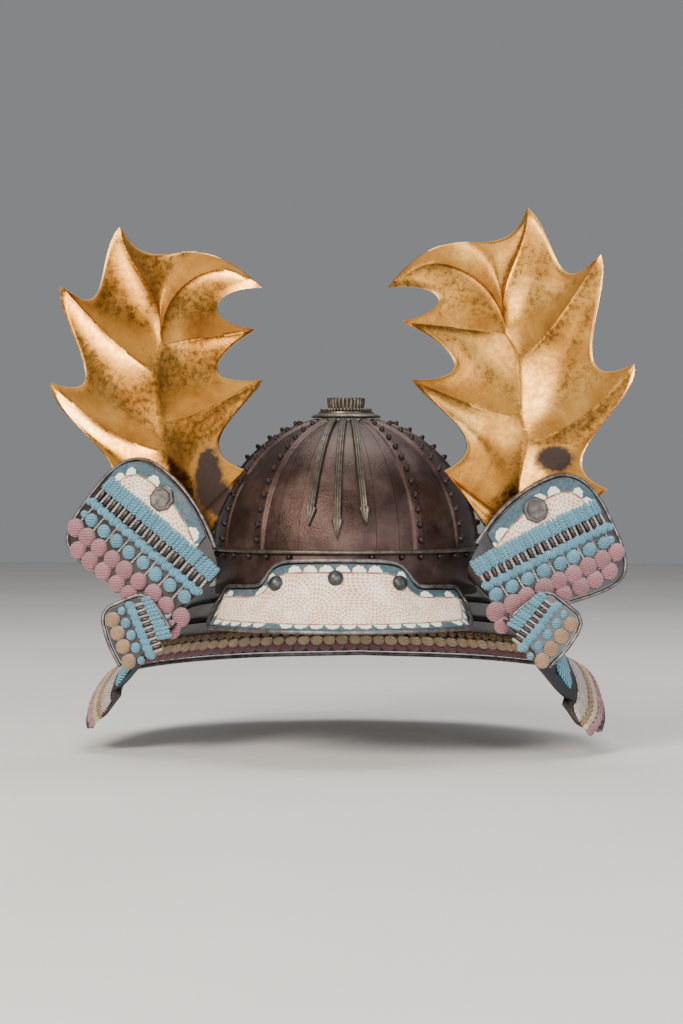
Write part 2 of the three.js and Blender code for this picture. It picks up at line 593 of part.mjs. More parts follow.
const FRONT_REACH = { lame_1: 0, lame_2: 11 };
const TIP_END = { left: 0.93, right: 1 };

// A point on the guard's middle surface: at along it, drop from the bowl (0) to the rim (1).
function guardPoint(sign, at, drop) {
  const weight = [2 * (drop - 0.5) * (drop - 1), 4 * drop * (1 - drop), 2 * drop * (drop - 0.5)];
  const value = (axis) => ['top', 'mid', 'rim'].reduce((sum, level, i) =>
    sum + weight[i] * smooth(GUARD, 'at', level + axis, at), 0);
  return vec(sign * value('X'), value('Y'), value('Z'));
}

// Turned-back panels. Along runs from the fold (0) to the free end (1), with the panel's edges.
const PANELS = {
  upper: {
    lame: 'lame_1', drop: 0, length: 130, skew: -5, sweep: 22, bow: 6,
    left: { tilt: 36.7, start: 2, shift: [0, 1.5] },
    right: { tilt: 24.7, start: 8, shift: [0, 3.5] },
    outline: [
      { along: 0, top: 6, bottom: -47 }, { along: 0.13, top: 16.3, bottom: -51 },
      { along: 0.3, top: 27, bottom: -52.3 }, { along: 0.48, top: 33.5, bottom: -56.2 }, { along: 0.66, top: 35.8, bottom: -59 },
      { along: 0.79, top: 34.5, bottom: -59.7 }, { along: 0.88, top: 29.5, bottom: -57.7 },
      { along: 0.95, top: 19.5, bottom: -52.5 }, { along: 0.985, top: 7, bottom: -42 },
      { along: 1, top: -5, bottom: -33 },
    ],
  },
  small: {
    lame: 'lame_2', drop: 0.25, length: 40, skew: 13, sweep: 8, bow: 0,
    left: { tilt: 67, start: 4, shift: [-9, -5] },
    right: { tilt: 51, start: 4, shift: [0, 0] },
    outline: [
      { along: 0, top: 2, bottom: -41 }, { along: 0.4, top: 0, bottom: -43.3 },
      { along: 0.75, top: -3, bottom: -42.3 }, { along: 0.93, top: -6.5, bottom: -39.5 }, { along: 1, top: -12, bottom: -34 },
    ],
  },
};

// Directions of a panel: out along its rows, up across them, and front, away from its face.
function panelAxes(panel, side) {
  const sign = SIDES[side];
  const [tilt, sweep] = [deg(panel[side].tilt), deg(panel.sweep)];
  const out = vec(sign * Math.cos(sweep) * Math.cos(tilt), Math.sin(sweep), Math.cos(sweep) * Math.sin(tilt));
  const up = vec(-sign * Math.sin(tilt), 0, Math.cos(tilt));
  const front = out.clone().cross(up).multiplyScalar(sign).normalize();
  if (front.y > 0) front.negate();
  return { out, up, front };
}

// A point on a panel's middle surface: u along its rows, v across them, lift off its face.
function panelPoint(panel, side, u, v, lift = 0) {
  const { out, up, front } = panelAxes(panel, side);
  const origin = guardPoint(SIDES[side], 1, panel.drop).add(vec(0, -FRONT_REACH[panel.lame], 0));
  const bow = panel.bow * (4 * (u / panel.length) * (1 - u / panel.length));
  const [outward, raise] = panel[side].shift;
  return origin.addScaledVector(out, u + outward).addScaledVector(up, v + raise).addScaledVector(front, lift + bow);
}

// How far out a place is: the fold side is cut at a slant.
function panelOut(panel, side, along, part) {
  return lerp(panel[side].start - panel.skew * part, panel.length, along);
}

function panelEdge(panel, along) {
  return {
    top: smooth(panel.outline, 'along', 'top', along),
    bottom: smooth(panel.outline, 'along', 'bottom', along),
  };
}

// One column of a panel, from its top edge to its bottom edge.
function panelColumn(panel, side, along, rows) {
  const { top, bottom } = panelEdge(panel, along);
  return spread(0, 1, rows).map((part) => {
    return panelPoint(panel, side, panelOut(panel, side, along, part), lerp(top, bottom, part));
  });
}

const MAIN_AT = [0, 0.1, 0.2, 0.3, 0.4, 0.5, 0.6, 0.7, 0.8, 0.9];
const PANEL_ALONG = {
  upper: [0.02, 0.13, 0.3, 0.48, 0.66, 0.79, 0.88, 0.95, 0.985, 1],
  small: [0.05, 0.4, 0.75, 0.93, 1],
};

// Columns of one lame on one side, from the middle of the back to its free end.
function lameColumns(number, side) {
  const sign = SIDES[side];
  const rows = 2;
  const name = `lame_${number}`;
  const first = (number - 1) / LAME.count - (number > 1 ? LAME.tuck : 0);
  const drops = spread(first, number / LAME.count, rows);
  const panelName = { 1: 'upper', 2: 'small' }[number];
  if (!panelName) {
    const corner = number === LAME.count ? 0.2 : 0.1;
    return [...MAIN_AT, 0.95, 0.985, 1].map((at) => drops.map((drop, row) => {
      const cut = corner * Math.max(0, row / rows - 0.4) ** 2 * 2.2;
      const beyond = Math.max(0, at - 0.8) / 0.2;
      return guardPoint(sign, Math.min(at, 0.8) + beyond * (TIP_END[side] - cut - 0.8), drop);
    }));
  }
  const reach = vec(0, -FRONT_REACH[name], 0);
  const edge = drops.map((drop) => guardPoint(sign, 1, drop).add(reach));
  const main = MAIN_AT.map((at) => drops.map((drop) => guardPoint(sign, at, drop)
    .addScaledVector(reach, Math.max(0, (at - 0.8) / 0.2))));
  const panel = PANELS[panelName];
  const columns = PANEL_ALONG[panelName].map((along) => panelColumn(panel, side, along, rows));
  const fold = [0.25, 0.5, 0.75].map((t) => drops.map((_, row) =>
    new THREE.QuadraticBezierCurve3(main.at(-1)[row], edge[row], columns[0][row]).getPoint(t)));
  return [...main, ...fold, ...columns];
}

function addLames() {
  range(LAME.count).forEach((i) => {
    const number = i + 1;
    const [left, right] = [lameColumns(number, 'left'), lameColumns(number, 'right')];
    const grid = [...left.slice(1).reverse(), ...right];
    const normals = gridNormals(grid);
    const middle = left.length - 1;
    const outward = Math.sign(normals[middle][0].z);
    const rows = grid[0].length - 1;
    const panelCells = number <= 2 ? PANEL_ALONG[number === 1 ? 'upper' : 'small'].length + 2 : 0;
    const level = (c, r) => {
      const fromFold = Math.min(c, grid.length - 1 - c) - panelCells;
      const tilt = panelCells && fromFold < -3 ? 0 : 1;
      return outward * LAME.proud * tilt * ((2 * r) / rows - 1);
    };
    const outer = lifted(grid, normals, (c, r) => level(c, r) + (outward * LAME.wall) / 2);
    const inner = lifted(grid, normals, (c, r) => level(c, r) - (outward * LAME.wall) / 2);
    add(`lame_${number}`, wall(outer, inner), LACQUER);
  });
}

// ---------------------------------------------------------------- edge bindings
function panelEdgeBar(name, side) {
  const panel = PANELS[name];
  const stand = EDGE_RADIUS + GAP + 0.2;
  const corner = (along, part) => {
    const { top, bottom } = panelEdge(panel, along);
    return new THREE.Vector2(panelOut(panel, side, along, part), part ? bottom : top);
  };
  const alongs = [0.09, ...PANEL_ALONG[name].slice(1)];
  const upper = alongs.map((along) => corner(along, 0));
  const lower = alongs.map((along) => corner(along, 1));
  const flat = [...upper, ...lower.reverse()];
  const path = flat.map((p, i) => {
    const tangent = flat[Math.min(i + 1, flat.length - 1)].clone().sub(flat[Math.max(i - 1, 0)]).normalize();
    return panelPoint(panel, side, p.x - tangent.y * stand, p.y + tangent.x * stand);
  });
  return bar(path, EDGE_RADIUS);
}

function addEdges() {
  Object.keys(SIDES).forEach((side) => {
    add(`edge_upper_${side}`, panelEdgeBar('upper', side), DARK_IRON);
    add(`edge_small_${side}`, panelEdgeBar('small', side), DARK_IRON);
  });
  const rimSide = (side) => lameColumns(LAME.count, side).map((column) => {
    const [above, last] = column.slice(-2);
    const down = last.clone().sub(above).normalize();
    return last.clone().addScaledVector(down, EDGE_RADIUS + 1.6);
  });
  const path = [...rimSide('left').slice(1).reverse(), ...rimSide('right')];
  add('edge_guard', bar(path, EDGE_RADIUS), DARK_IRON);
}

// ---------------------------------------------------------------- leather, lacing and crests
// A flat patch on a panel's face between two heights, each a number or the panel's top edge.
function panelPatch(panel, side, low, high, thick, from = 0.13, to = 0.97) {
  const cells = panel.length > 100 ? 8 : 4;
  const face = LAME.wall / 2 + LACE.lift;
  const columns = spread(from, to, cells).map((along) => {
    const { top, bottom } = panelEdge(panel, along);
    const upper = Math.min(high, top - 2);
    const lower = Math.max(Math.min(low, upper - 0.8), bottom + 2);
    return [upper, lower].map((v) => {
      return [panelOut(panel, side, along, (top - v) / (top - bottom)), v];
    });
  });
  const layer = (lift) => columns.map((column) => column.map(([u, v]) => panelPoint(panel, side, u, v, lift)));
  return wall(layer(face + thick), layer(face));
}

// A strip that lies on the guard between two drops; lift is positive on its outer face.
function guardStrip(fromDrop, toDrop, lift, thick, end) {
  const ats = [...MAIN_AT.filter((at) => at < end), end];
  const columns = [...ats.slice(1).reverse().map((at) => [-1, at]), ...ats.map((at) => [1, at])];
  const grid = columns.map(([sign, at]) => [fromDrop, toDrop].map((drop) => guardPoint(sign, at, drop)));
  const normals = gridNormals(grid);
  const outward = Math.sign(normals[ats.length][0].z);
  const layer = (height) => lifted(grid, normals, outward * height);
  return wall(layer(lift + thick / 2), layer(lift - thick / 2));
}

function addSoftPieces() {
  Object.keys(SIDES).forEach((side) => {
    const { upper, small } = PANELS;
    add(`leather_${side}`, panelPatch(upper, side, 8.2, 99, LACE.thin, 0.18), LEATHER);
    add(`lace_upper_band_${side}`, panelPatch(upper, side, -5, 7.4, LACE.band), BLUE_SILK);
    add(`lace_upper_rows_${side}`, panelPatch(upper, side, -56, -11, LACE.rows), PINK_SILK);
    add(`lace_small_band_${side}`, panelPatch(small, side, -7, 5, LACE.band, 0.32, 0.9), BLUE_SILK);
    add(`lace_small_rows_${side}`, panelPatch(small, side, -40, -15, LACE.rows, 0.32, 0.9), TAN_SILK);
    const { up, front } = panelAxes(upper, side);
    const plate = lathe([[0, 0], [CREST.radius, 0], [CREST.radius, CREST.thickness * 0.6],
      [CREST.radius - 1.4, CREST.thickness], [0, CREST.thickness]], 8);
    const mesh = add(`crest_${side}`, plate, BRONZE);
    const across = up.clone().cross(front);
    mesh.quaternion.setFromRotationMatrix(new THREE.Matrix4().makeBasis(across, up, front));
    const lift = LAME.wall / 2 + LACE.lift + LACE.thin + 2;
    mesh.position.copy(panelPoint(upper, side, CREST.along * upper.length, CREST.across, lift));
    mesh.rotateZ(deg(22.5));
  });
  const inside = -(LAME.wall / 2 + LAME.proud + LACE.lift + 1);
  add('lace_guard_inner', guardStrip(0.83, 0.965, inside - 0.4, 2, 0.9), TAN_SILK);
  const outside = LAME.wall / 2 + LAME.proud + LACE.lift + 1.2;
  range(LAME.count).forEach((i) => {
    const low = (i + 1) / LAME.count;
    add(`lace_back_${i + 1}`, guardStrip(low - 0.16, low - 0.03, outside, 1.6, i < 2 ? 0.86 : 0.9), BLUE_SILK);
  });
}

addBowl();
addWaistBand();
addCrown();
addRibs();
addVisor();
addLeaves();
addLames();
addEdges();
addSoftPieces();

export default kabuto;
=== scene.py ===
"""Kabuto: a riveted Japanese helmet with visor, laced neck guard and two gilt leaf crests.

Shapes are worked out in millimetres, in the frame's own axes, and stored in metres.
The helmet faces -Y and +X is to the right of someone looking at its front.
"""
import math

import bpy
import numpy as np
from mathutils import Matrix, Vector


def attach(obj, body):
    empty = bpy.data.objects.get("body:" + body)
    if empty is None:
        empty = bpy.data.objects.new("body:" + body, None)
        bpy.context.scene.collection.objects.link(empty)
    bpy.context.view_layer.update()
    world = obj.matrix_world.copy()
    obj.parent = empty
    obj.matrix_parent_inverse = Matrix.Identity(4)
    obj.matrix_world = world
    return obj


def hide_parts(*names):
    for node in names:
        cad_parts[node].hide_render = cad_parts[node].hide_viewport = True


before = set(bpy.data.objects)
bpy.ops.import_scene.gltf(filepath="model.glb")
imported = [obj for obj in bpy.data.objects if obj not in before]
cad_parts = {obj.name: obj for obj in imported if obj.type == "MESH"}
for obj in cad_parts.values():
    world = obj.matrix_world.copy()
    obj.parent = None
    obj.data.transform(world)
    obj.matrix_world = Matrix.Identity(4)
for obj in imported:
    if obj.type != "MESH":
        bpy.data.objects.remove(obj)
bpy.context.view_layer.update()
MM = 0.001

# ------------------------------------------------------------------ driving sizes, in mm
BOWL = dict(half_width=107.0, half_length=122.0, band_top=36.0, height=107.0, wall=1.6)
PLATE = dict(lap=6.5, joggle=4.0, lift=1.9, seam=0.15, crown_radius=25.0)
PLATE_EDGES = (16.5, 26.5, 34.8, 59.5, 86.4, 113.4, 140.3, 167.2)  # degrees from the front
FIRST_LAPPED = 2
RIVET = dict(per_row=11, low=3.1, high=2.1, height=3.6, first=5.0, last=68.0)
EDGE_RADIUS = 1.7
LEAF_WALL = 2.4
LAME_WALL = 1.6
SIDES = dict(left=-1.0, right=1.0)


# ------------------------------------------------------------------ arrays and tables
def unit(v):
    """Vectors divided by their length."""
    return v / np.maximum(np.linalg.norm(v, axis=-1, keepdims=True), 1e-9)


def smooth(table, key, column, at):
    """A table's column between its rows: cubic pieces with slopes from the neighbouring rows."""
    x = np.array([row[key] for row in table], float)
    y = np.array([row[column] for row in table], float)
    slope = np.empty_like(y)
    slope[1:-1] = (y[2:] - y[:-2]) / (x[2:] - x[:-2])
    slope[0], slope[-1] = (y[1] - y[0]) / (x[1] - x[0]), (y[-1] - y[-2]) / (x[-1] - x[-2])
    at = np.asarray(at, float)
    i = np.clip(np.searchsorted(x, at, side="right") - 1, 0, len(x) - 2)
    span = x[i + 1] - x[i]
    t = (at - x[i]) / span
    return ((2 * t**3 - 3 * t**2 + 1) * y[i] + (t**3 - 2 * t**2 + t) * span * slope[i]
            + (3 * t**2 - 2 * t**3) * y[i + 1] + (t**3 - t**2) * span * slope[i + 1])


def grid_quads(columns, rows, wrap=False):
    """Corner numbers of the cells of a grid whose points run column by column."""
    c, r = np.meshgrid(np.arange(columns if wrap else columns - 1), np.arange(rows - 1), indexing="ij")
    a, b = c * rows + r, (c + 1) % columns * rows + r
    return np.stack([a, b, b + 1, a + 1], -1).reshape(-1, 4)


def shell(outer, inner, wrap=False):
    """Two grids of points [column, row] and the four borders between them, as one closed wall."""
    columns, rows = outer.shape[:2]
    count = columns * rows
    faces = grid_quads(columns, rows, wrap)
    parts = [faces, faces[:, ::-1] + count]
    ids = np.arange(count).reshape(columns, rows)
    loop = np.append(ids, ids[:1], 0) if wrap else ids
    for line, flip in ((loop[:, 0], 1), (loop[:, -1], 0)):
        a, b = line[:-1], line[1:]
        quad = np.stack([a, a + count, b + count, b], -1)
        parts.append(quad if flip else quad[:, ::-1])
    if not wrap:
        for line, flip in ((ids[0], 0), (ids[-1], 1)):
            a, b = line[:-1], line[1:]
            quad = np.stack([a, a + count, b + count, b], -1)
            parts.append(quad if flip else quad[:, ::-1])
    return np.concatenate([outer.reshape(-1, 3), inner.reshape(-1, 3)]), np.concatenate(parts)


def grid_normals(grid):
    """Unit normals of a grid of points, from the differences along its two directions."""
    return unit(np.cross(np.gradient(grid, axis=0), np.gradient(grid, axis=1)))


def frames_along(path, up, closed=False):
    """Unit tangent, side and normal along a path, with the normal kept near the given up."""
    if closed:
        tangent = unit(np.roll(path, -1, 0) - np.roll(path, 1, 0))
    else:
        tangent = unit(np.gradient(path, axis=0))
    side = unit(np.cross(tangent, np.broadcast_to(up, path.shape)))
    return tangent, side, np.cross(side, tangent)


def sweep(path, profile, up, closed=False, scale=None):
    """A closed profile (side, normal) carried along a path; open ends are closed by flat caps."""
    _, side, normal = frames_along(path, up, closed)
    size = np.ones(len(path)) if scale is None else np.asarray(scale, float)
    ring = (path[:, None] + side[:, None] * (profile[None, :, :1] * size[:, None, None])
            + normal[:, None] * (profile[None, :, 1:] * size[:, None, None]))
    columns, rows = ring.shape[:2]
    points = ring.reshape(-1, 3)
    i = np.arange(columns if closed else columns - 1)[:, None]
    j = np.arange(rows)[None]
    a, b = i * rows + j, (i + 1) % columns * rows + j
    a2, b2 = i * rows + (j + 1) % rows, (i + 1) % columns * rows + (j + 1) % rows
    faces = np.stack([a, b, b2, a2], -1).reshape(-1, 4)
    if closed:
        return points, faces
    caps = [list(range(rows)), list(range(len(points) - rows, len(points)))[::-1]]
    return points, faces, caps


def circle(radius, sides, flat=1.0):
    """A round profile, its second direction pressed to `flat` of the first."""
    turn = np.arange(sides) * 2 * np.pi / sides
    return np.stack([radius * np.cos(turn), radius * flat * np.sin(turn)], -1)


def copies(points, faces, origins, axes):
    """One shape at many places: axes holds each place's three directions, scaled, as rows."""
    placed = origins[:, None] + np.einsum("pk,nkc->npc", points, axes)
    shifted = faces[None] + (np.arange(len(origins)) * len(points))[:, None, None]
    return placed.reshape(-1, 3), shifted.reshape(-1, faces.shape[1])


def merged(*parts):
    """Several (points, faces[, caps]) shapes as one."""
    points, quads, caps, start = [], [], [], 0
    for part in parts:
        points.append(part[0])
        quads.append(part[1] + start)
        if len(part) > 2:
            caps += [[i + start for i in cap] for cap in part[2]]
        start += len(part[0])
    return np.concatenate(points), np.concatenate(quads), caps


# ------------------------------------------------------------------ making objects
def piece(name, shape, material, replaces=(), maps=None):
    """A mesh object from (points in mm, quads[, caps]), turned so that its faces point out.

    maps holds named attributes, one number or one vector for each point.
    """
    points, quads = shape[0], shape[1]
    caps = list(shape[2]) if len(shape) > 2 else []
    a, b, c, d = (points[quads[:, k]] for k in range(4))
    volume = np.einsum("ij,ij->", a, np.cross(b, c)) + np.einsum("ij,ij->", a, np.cross(c, d))
    if volume < 0:
        quads = quads[:, ::-1]
        caps = [cap[::-1] for cap in caps]
    mesh = bpy.data.meshes.new(name)
    mesh.from_pydata((points * MM).tolist(), [], quads.tolist() + caps)
    mesh.validate()
    mesh.shade_smooth()
    mesh.set_sharp_from_angle(angle=math.radians(48))
    for key, values in (maps or {}).items():
        values = np.asarray(values, float)
        kind = "FLOAT" if values.ndim == 1 else "FLOAT_VECTOR"
        layer = mesh.attributes.new(key, kind, "POINT")
        layer.data.foreach_set("value" if kind == "FLOAT" else "vector", values.ravel())
    mesh.materials.append(material)
    obj = bpy.data.objects.new(name, mesh)
    bpy.context.scene.collection.objects.link(obj)
    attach(obj, "root")
    if replaces:
        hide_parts(*replaces)
    return obj


def rgb(code, alpha=1.0):
    """An sRGB hex colour as linear red, green, blue and alpha."""
    parts = [int(code[i:i + 2], 16) / 255 for i in (1, 3, 5)]
    return tuple(c / 12.92 if c <= 0.04045 else ((c + 0.055) / 1.055) ** 2.4 for c in parts) + (alpha,)


class Finish:
    """A node material in the making: one method adds a node with its settings and its links."""

    def __init__(self, name):
        self.material = bpy.data.materials.new(name)
        self.material.use_nodes = True
        self.tree = self.material.node_tree
        self.shader = self.tree.nodes["Principled BSDF"]

    def node(self, kind, inputs=(), out=0, **settings):
        """Add a node; inputs (a list, or a dict by socket) are values or other nodes' outputs."""
        made = self.tree.nodes.new("ShaderNode" + kind)
        for key, value in settings.items():
            setattr(made, key, value)
        for key, value in (inputs.items() if isinstance(inputs, dict) else enumerate(inputs)):
            if isinstance(value, bpy.types.NodeSocket):
                self.tree.links.new(value, made.inputs[key])
            elif value is not None:
                made.inputs[key].default_value = value
        return made.outputs[out]

    def set(self, **sockets):
        """Set or link the shader's own sockets, with _ for a space in their names."""
        for key, value in sockets.items():
            socket = self.shader.inputs[key.replace("_", " ")]
            if isinstance(value, bpy.types.NodeSocket):
                self.tree.links.new(value, socket)
            else:
                socket.default_value = value
        return self.material

    def ramp(self, value, stops):
        """A colour ramp node through (position, hex colour) stops."""
        made = self.tree.nodes.new("ShaderNodeValToRGB")
        self.tree.links.new(value, made.inputs[0])
        elements = made.color_ramp.elements
        while len(elements) < len(stops):
            elements.new(0.5)
        for element, (place, code) in zip(elements, stops):
            element.position = place
            element.color = rgb(code)
        return made.outputs[0]


# ------------------------------------------------------------------ small shapes used many times
def pillow(across=9, along=9, power=0.5, ridges=0.0, ridge=0.0, slant=0.0):
    """A cushion on the unit disc, its height (1 - r^2)^power, closed by a flat floor.

    A square grid is drawn onto the disc by x = a sqrt(1 - b^2/2), y = b sqrt(1 - a^2/2). Cord
    turns are ridges |cos| across x, leaned by `slant` times y.
    """
    a, b = np.meshgrid(np.linspace(-1, 1, across), np.linspace(-1, 1, along), indexing="ij")
    x, y = a * np.sqrt(1 - b**2 / 2), b * np.sqrt(1 - a**2 / 2)
    body = np.clip(1 - x**2 - y**2, 0, 1) ** power
    turns = np.abs(np.cos(np.pi * ridges * (x + slant * y) / 2)) if ridges else 1.0
    top = np.stack([x, y, body * (1 - ridge + ridge * turns) + 0.04], -1)
    return shell(top, np.stack([x, y, np.full_like(x, -0.1)], -1))


def cord_loop(across=7, along=9, ridges=3, ridge=0.2):
    """A short flat cord: x across (half width 1), y along (half length 1), rounded at both ends.

    Its height is (1 - x^2)^0.5 (1 - y^6)^0.5, with |cos| threads running along it.
    """
    a, b = np.meshgrid(np.linspace(-1, 1, across), np.sin(np.linspace(-1, 1, along) * np.pi / 2),
                       indexing="ij")
    width = (1 - b**6 * 0.75) ** 0.5
    threads = 1 - ridge + ridge * np.abs(np.cos(np.pi * ridges * a / 2))
    height = np.sqrt(np.clip(1 - a**2, 0, 1)) * np.clip(1 - b**6, 0, 1) ** 0.5 * threads
    top = np.stack([a * width, b, height + 0.05], -1)
    return shell(top, np.stack([a * width, b, np.full_like(a, -0.1)], -1))


# ------------------------------------------------------------------ bowl
def dome(turn, rise, lift=0.0):
    """Points of the dome, an ellipsoid above the band: turn from the front, rise, lift off it."""
    a, b, h = BOWL["half_width"], BOWL["half_length"], BOWL["height"]
    turn, rise, lift = np.broadcast_arrays(turn, rise, lift)
    ball = np.stack([np.sin(turn) * np.cos(rise), -np.cos(turn) * np.cos(rise), np.sin(rise)], -1)
    out = unit(ball / np.array([a, b, h]))
    return ball * np.array([a, b, h]) + np.array([0, 0, BOWL["band_top"]]) + out * lift[..., None]


def turn_of(distance, turn, rise):
    """The turn that covers a distance along the dome at one level."""
    reach = np.hypot(BOWL["half_width"] * np.cos(turn), BOWL["half_length"] * np.sin(turn))
    return distance / (np.cos(rise) * reach)


RISE_START = math.asin(1.6 / BOWL["height"])
RISE_END = math.acos(PLATE["crown_radius"] / BOWL["half_width"])


def narrowing(rise):
    """Laps grow narrower towards the crown."""
    return 0.6 + 0.4 * np.cos(rise)


def plate_shell(start, end, laps):
    """One bowl plate as a wall over the dome; a lapping plate steps up at its rear edge.

    Columns run along the turn, each with a shift in mm and a lift; rows run up the rise.
    """
    rows = np.linspace(RISE_START, RISE_END, 48)
    cells = max(4, int(math.degrees(end - start) / 2.2))
    turns = np.linspace(start, end, cells + 1)
    shift = np.zeros(cells + 1)
    shift[0], shift[-1] = PLATE["seam"], -PLATE["seam"]
    lift = np.zeros(cells + 1)
    if laps:
        shift[-1] = -PLATE["joggle"]
        step = np.array([0.25, 0.5, 0.75, 1.0])
        turns = np.append(turns, np.full(8, end))
        shift = np.append(shift, np.append(-4 + 3.2 * step, PLATE["lap"] * np.array([0.3, 0.65, 0.94, 1.0])))
        lift = np.append(lift, PLATE["lift"] * np.append(step * step * (3 - 2 * step), [1, 1, 1, 0.9]))
    turn, rise = np.meshgrid(turns, rows, indexing="ij")
    moved = shift[:, None] * np.where(shift[:, None] > 1, narrowing(rise), 1.0)
    turn = turn + turn_of(moved, turn, rise)
    return shell(dome(turn, rise, lift[:, None]), dome(turn, rise, lift[:, None] - BOWL["wall"]))


def rivet_row(edge):
    """Round-headed rivets up one lapped edge: frames on the dome, sizes falling to the crown."""
    count = RIVET["per_row"]
    rise = np.radians(np.linspace(RIVET["first"], RIVET["last"], count))
    size = np.linspace(RIVET["low"], RIVET["high"], count)
    turn = edge + turn_of(PLATE["lap"] * 0.42 * narrowing(rise), edge, rise)
    origin = dome(turn, rise, PLATE["lift"] - 0.2)
    out = unit(dome(turn, rise, 3.0) - origin)
    across = unit(np.cross([0.0, 0.0, 1.0], out))
    up = np.cross(out, across)
    axes = np.stack([across * size[:, None], up * size[:, None], out * RIVET["height"]], 1)
    return copies(*pillow(9, 9), origin, axes)


def mirror(shape):
    """The shape reflected in the plane x = 0."""
    return (shape[0] * np.array([-1.0, 1, 1]), shape[1][:, ::-1], *shape[2:])


def build_bowl(iron):
    """Sixteen plates: flush at the front, lapped and riveted towards the back."""
    edges = np.radians(PLATE_EDGES)
    piece("bowl_plate_front", plate_shell(-edges[0], edges[0], False), iron, ["plate_front"])
    for i in range(len(edges) - 1):
        laps = i + 1 >= FIRST_LAPPED
        shape = plate_shell(edges[i], edges[i + 1], laps)
        plain = len(shape[0])
        shape = merged(shape, rivet_row(edges[i + 1])) if laps else shape
        maps = dict(rivet=np.arange(len(shape[0])) >= plain)
        for side in SIDES:
            made = shape if side == "right" else mirror(shape)
            piece(f"bowl_plate_{side}_{i + 1}", made, iron, [f"plate_{side}_{i + 1}"], maps)
    back = plate_shell(edges[-1], 2 * np.pi - edges[-1], False)
    piece("bowl_plate_back", back, iron, ["plate_back"])


def ellipse(turn, half_width, half_length, z=0.0):
    """Points round an ellipse, turn 0 at the front."""
    return np.stack([half_width * np.sin(turn), -half_length * np.cos(turn), np.full_like(turn, z)], -1)


def build_waist_band(iron, bronze):
    """The upright band: one profile (out, up) carried round the bowl, a round rod along its top."""
    turn = np.linspace(0, 2 * np.pi, 200, endpoint=False)
    path = ellipse(turn, BOWL["half_width"], BOWL["half_length"])
    up = np.array([0.0, 0, 1])
    profile = np.array([[-1.8, 0.0], [-0.4, 0.0], [0.0, 0.4], [0.0, 36.2], [-0.4, 36.6], [-1.8, 36.6]])
    shape = sweep(path, profile, up, closed=True)
    front = np.radians([-73, -62.5, -52, -41.5, -31.5, -20.5, 14.5, 27.5, 36.5, 46.5, 57, 68])
    place = ellipse(front, BOWL["half_width"], BOWL["half_length"], 32.6)
    out = unit(np.stack([np.sin(front) / 107, -np.cos(front) / 122, 0 * front], -1))
    across = np.cross([0.0, 0, 1], out)
    axes = np.stack([across * 2.7, np.broadcast_to([0.0, 0, 2.7], out.shape), out * 3.2], 1)
    band = merged(shape, copies(*pillow(11, 11), place, axes))
    piece("waist_band", band, iron, ["waist_band"],
          dict(rivet=np.arange(len(band[0])) >= len(shape[0])))
    rod = sweep(ellipse(turn, 108.3, 123.3, 36.4), circle(1.65, 12), up, closed=True)
    piece("waist_rod", rod, bronze)


# ------------------------------------------------------------------ crown fitting and front ribs
def build_crown(bronze):
    """Washer and bead ring turned about the axis, with a fluted open collar above them."""
    turn = np.linspace(0, 2 * np.pi, 208, endpoint=False)
    circle_path = ellipse(turn, 1.0, 1.0)
    z = 142.8

    def turned(profile):
        r, h = np.array(profile, float).T
        ring = circle_path[:, None] * r[None, :, None]
        ring[..., 2] = h
        return ring

    washer = turned([(10.2, z + 3), (17, z + 5.4), (20, z + 5.2), (22.4, z + 4.8), (22.8, z + 3.4),
                     (25, z + 2.8), (27.8, z + 1.8), (28.6, z + 0.8), (28.2, z)])
    under = turned([(10.2, z), (17, z), (20, z), (22, z), (22.5, z), (25, z), (27, z), (27.6, z), (28, z)])
    beads = 44
    bead_turn = np.arange(beads) * 2 * np.pi / beads
    origin = ellipse(bead_turn, 19.6, 19.6, z + 6.3)
    out = ellipse(bead_turn, 1.0, 1.0)
    up = np.broadcast_to([0.0, 0, 1], out.shape)
    side = np.cross(up, out)
    rope = copies(*pillow(7, 7), origin, np.stack([side * 1.6, up * 1.5, out * 1.6], 1))
    drum = (turned([(15, z + 5.0), (19.2, z + 5.2), (19.8, z + 6.3), (19.2, z + 7.3), (15, z + 7.6)]),
            turned([(12, z + 5.0), (12, z + 5.2), (12, z + 6.3), (12, z + 7.3), (12, z + 7.6)]))
    piece("crown_washer", merged(shell(washer, under, True), shell(*drum, True), rope), bronze,
          ["crown_base"])
    height = np.linspace(0, 1, 14)
    t, h = np.meshgrid(turn, height, indexing="ij")
    petal = np.abs(np.sin(t * 13))
    radius = 13.9 + 0.9 * h**2 + 1.3 * petal**0.6 * (0.6 + 0.4 * np.sin(np.pi * h))
    top = z + 7.9 + (8.4 - 0.7 * (1 - petal) * h) * h
    outer = np.stack([radius * np.sin(t), -radius * np.cos(t), top], -1)
    inner = np.stack([(12.9 + 0.9 * h) * np.sin(t), -(12.9 + 0.9 * h) * np.cos(t), top], -1)
    piece("crown_flower_collar", shell(outer, inner, True), bronze, ["crown_collar"])


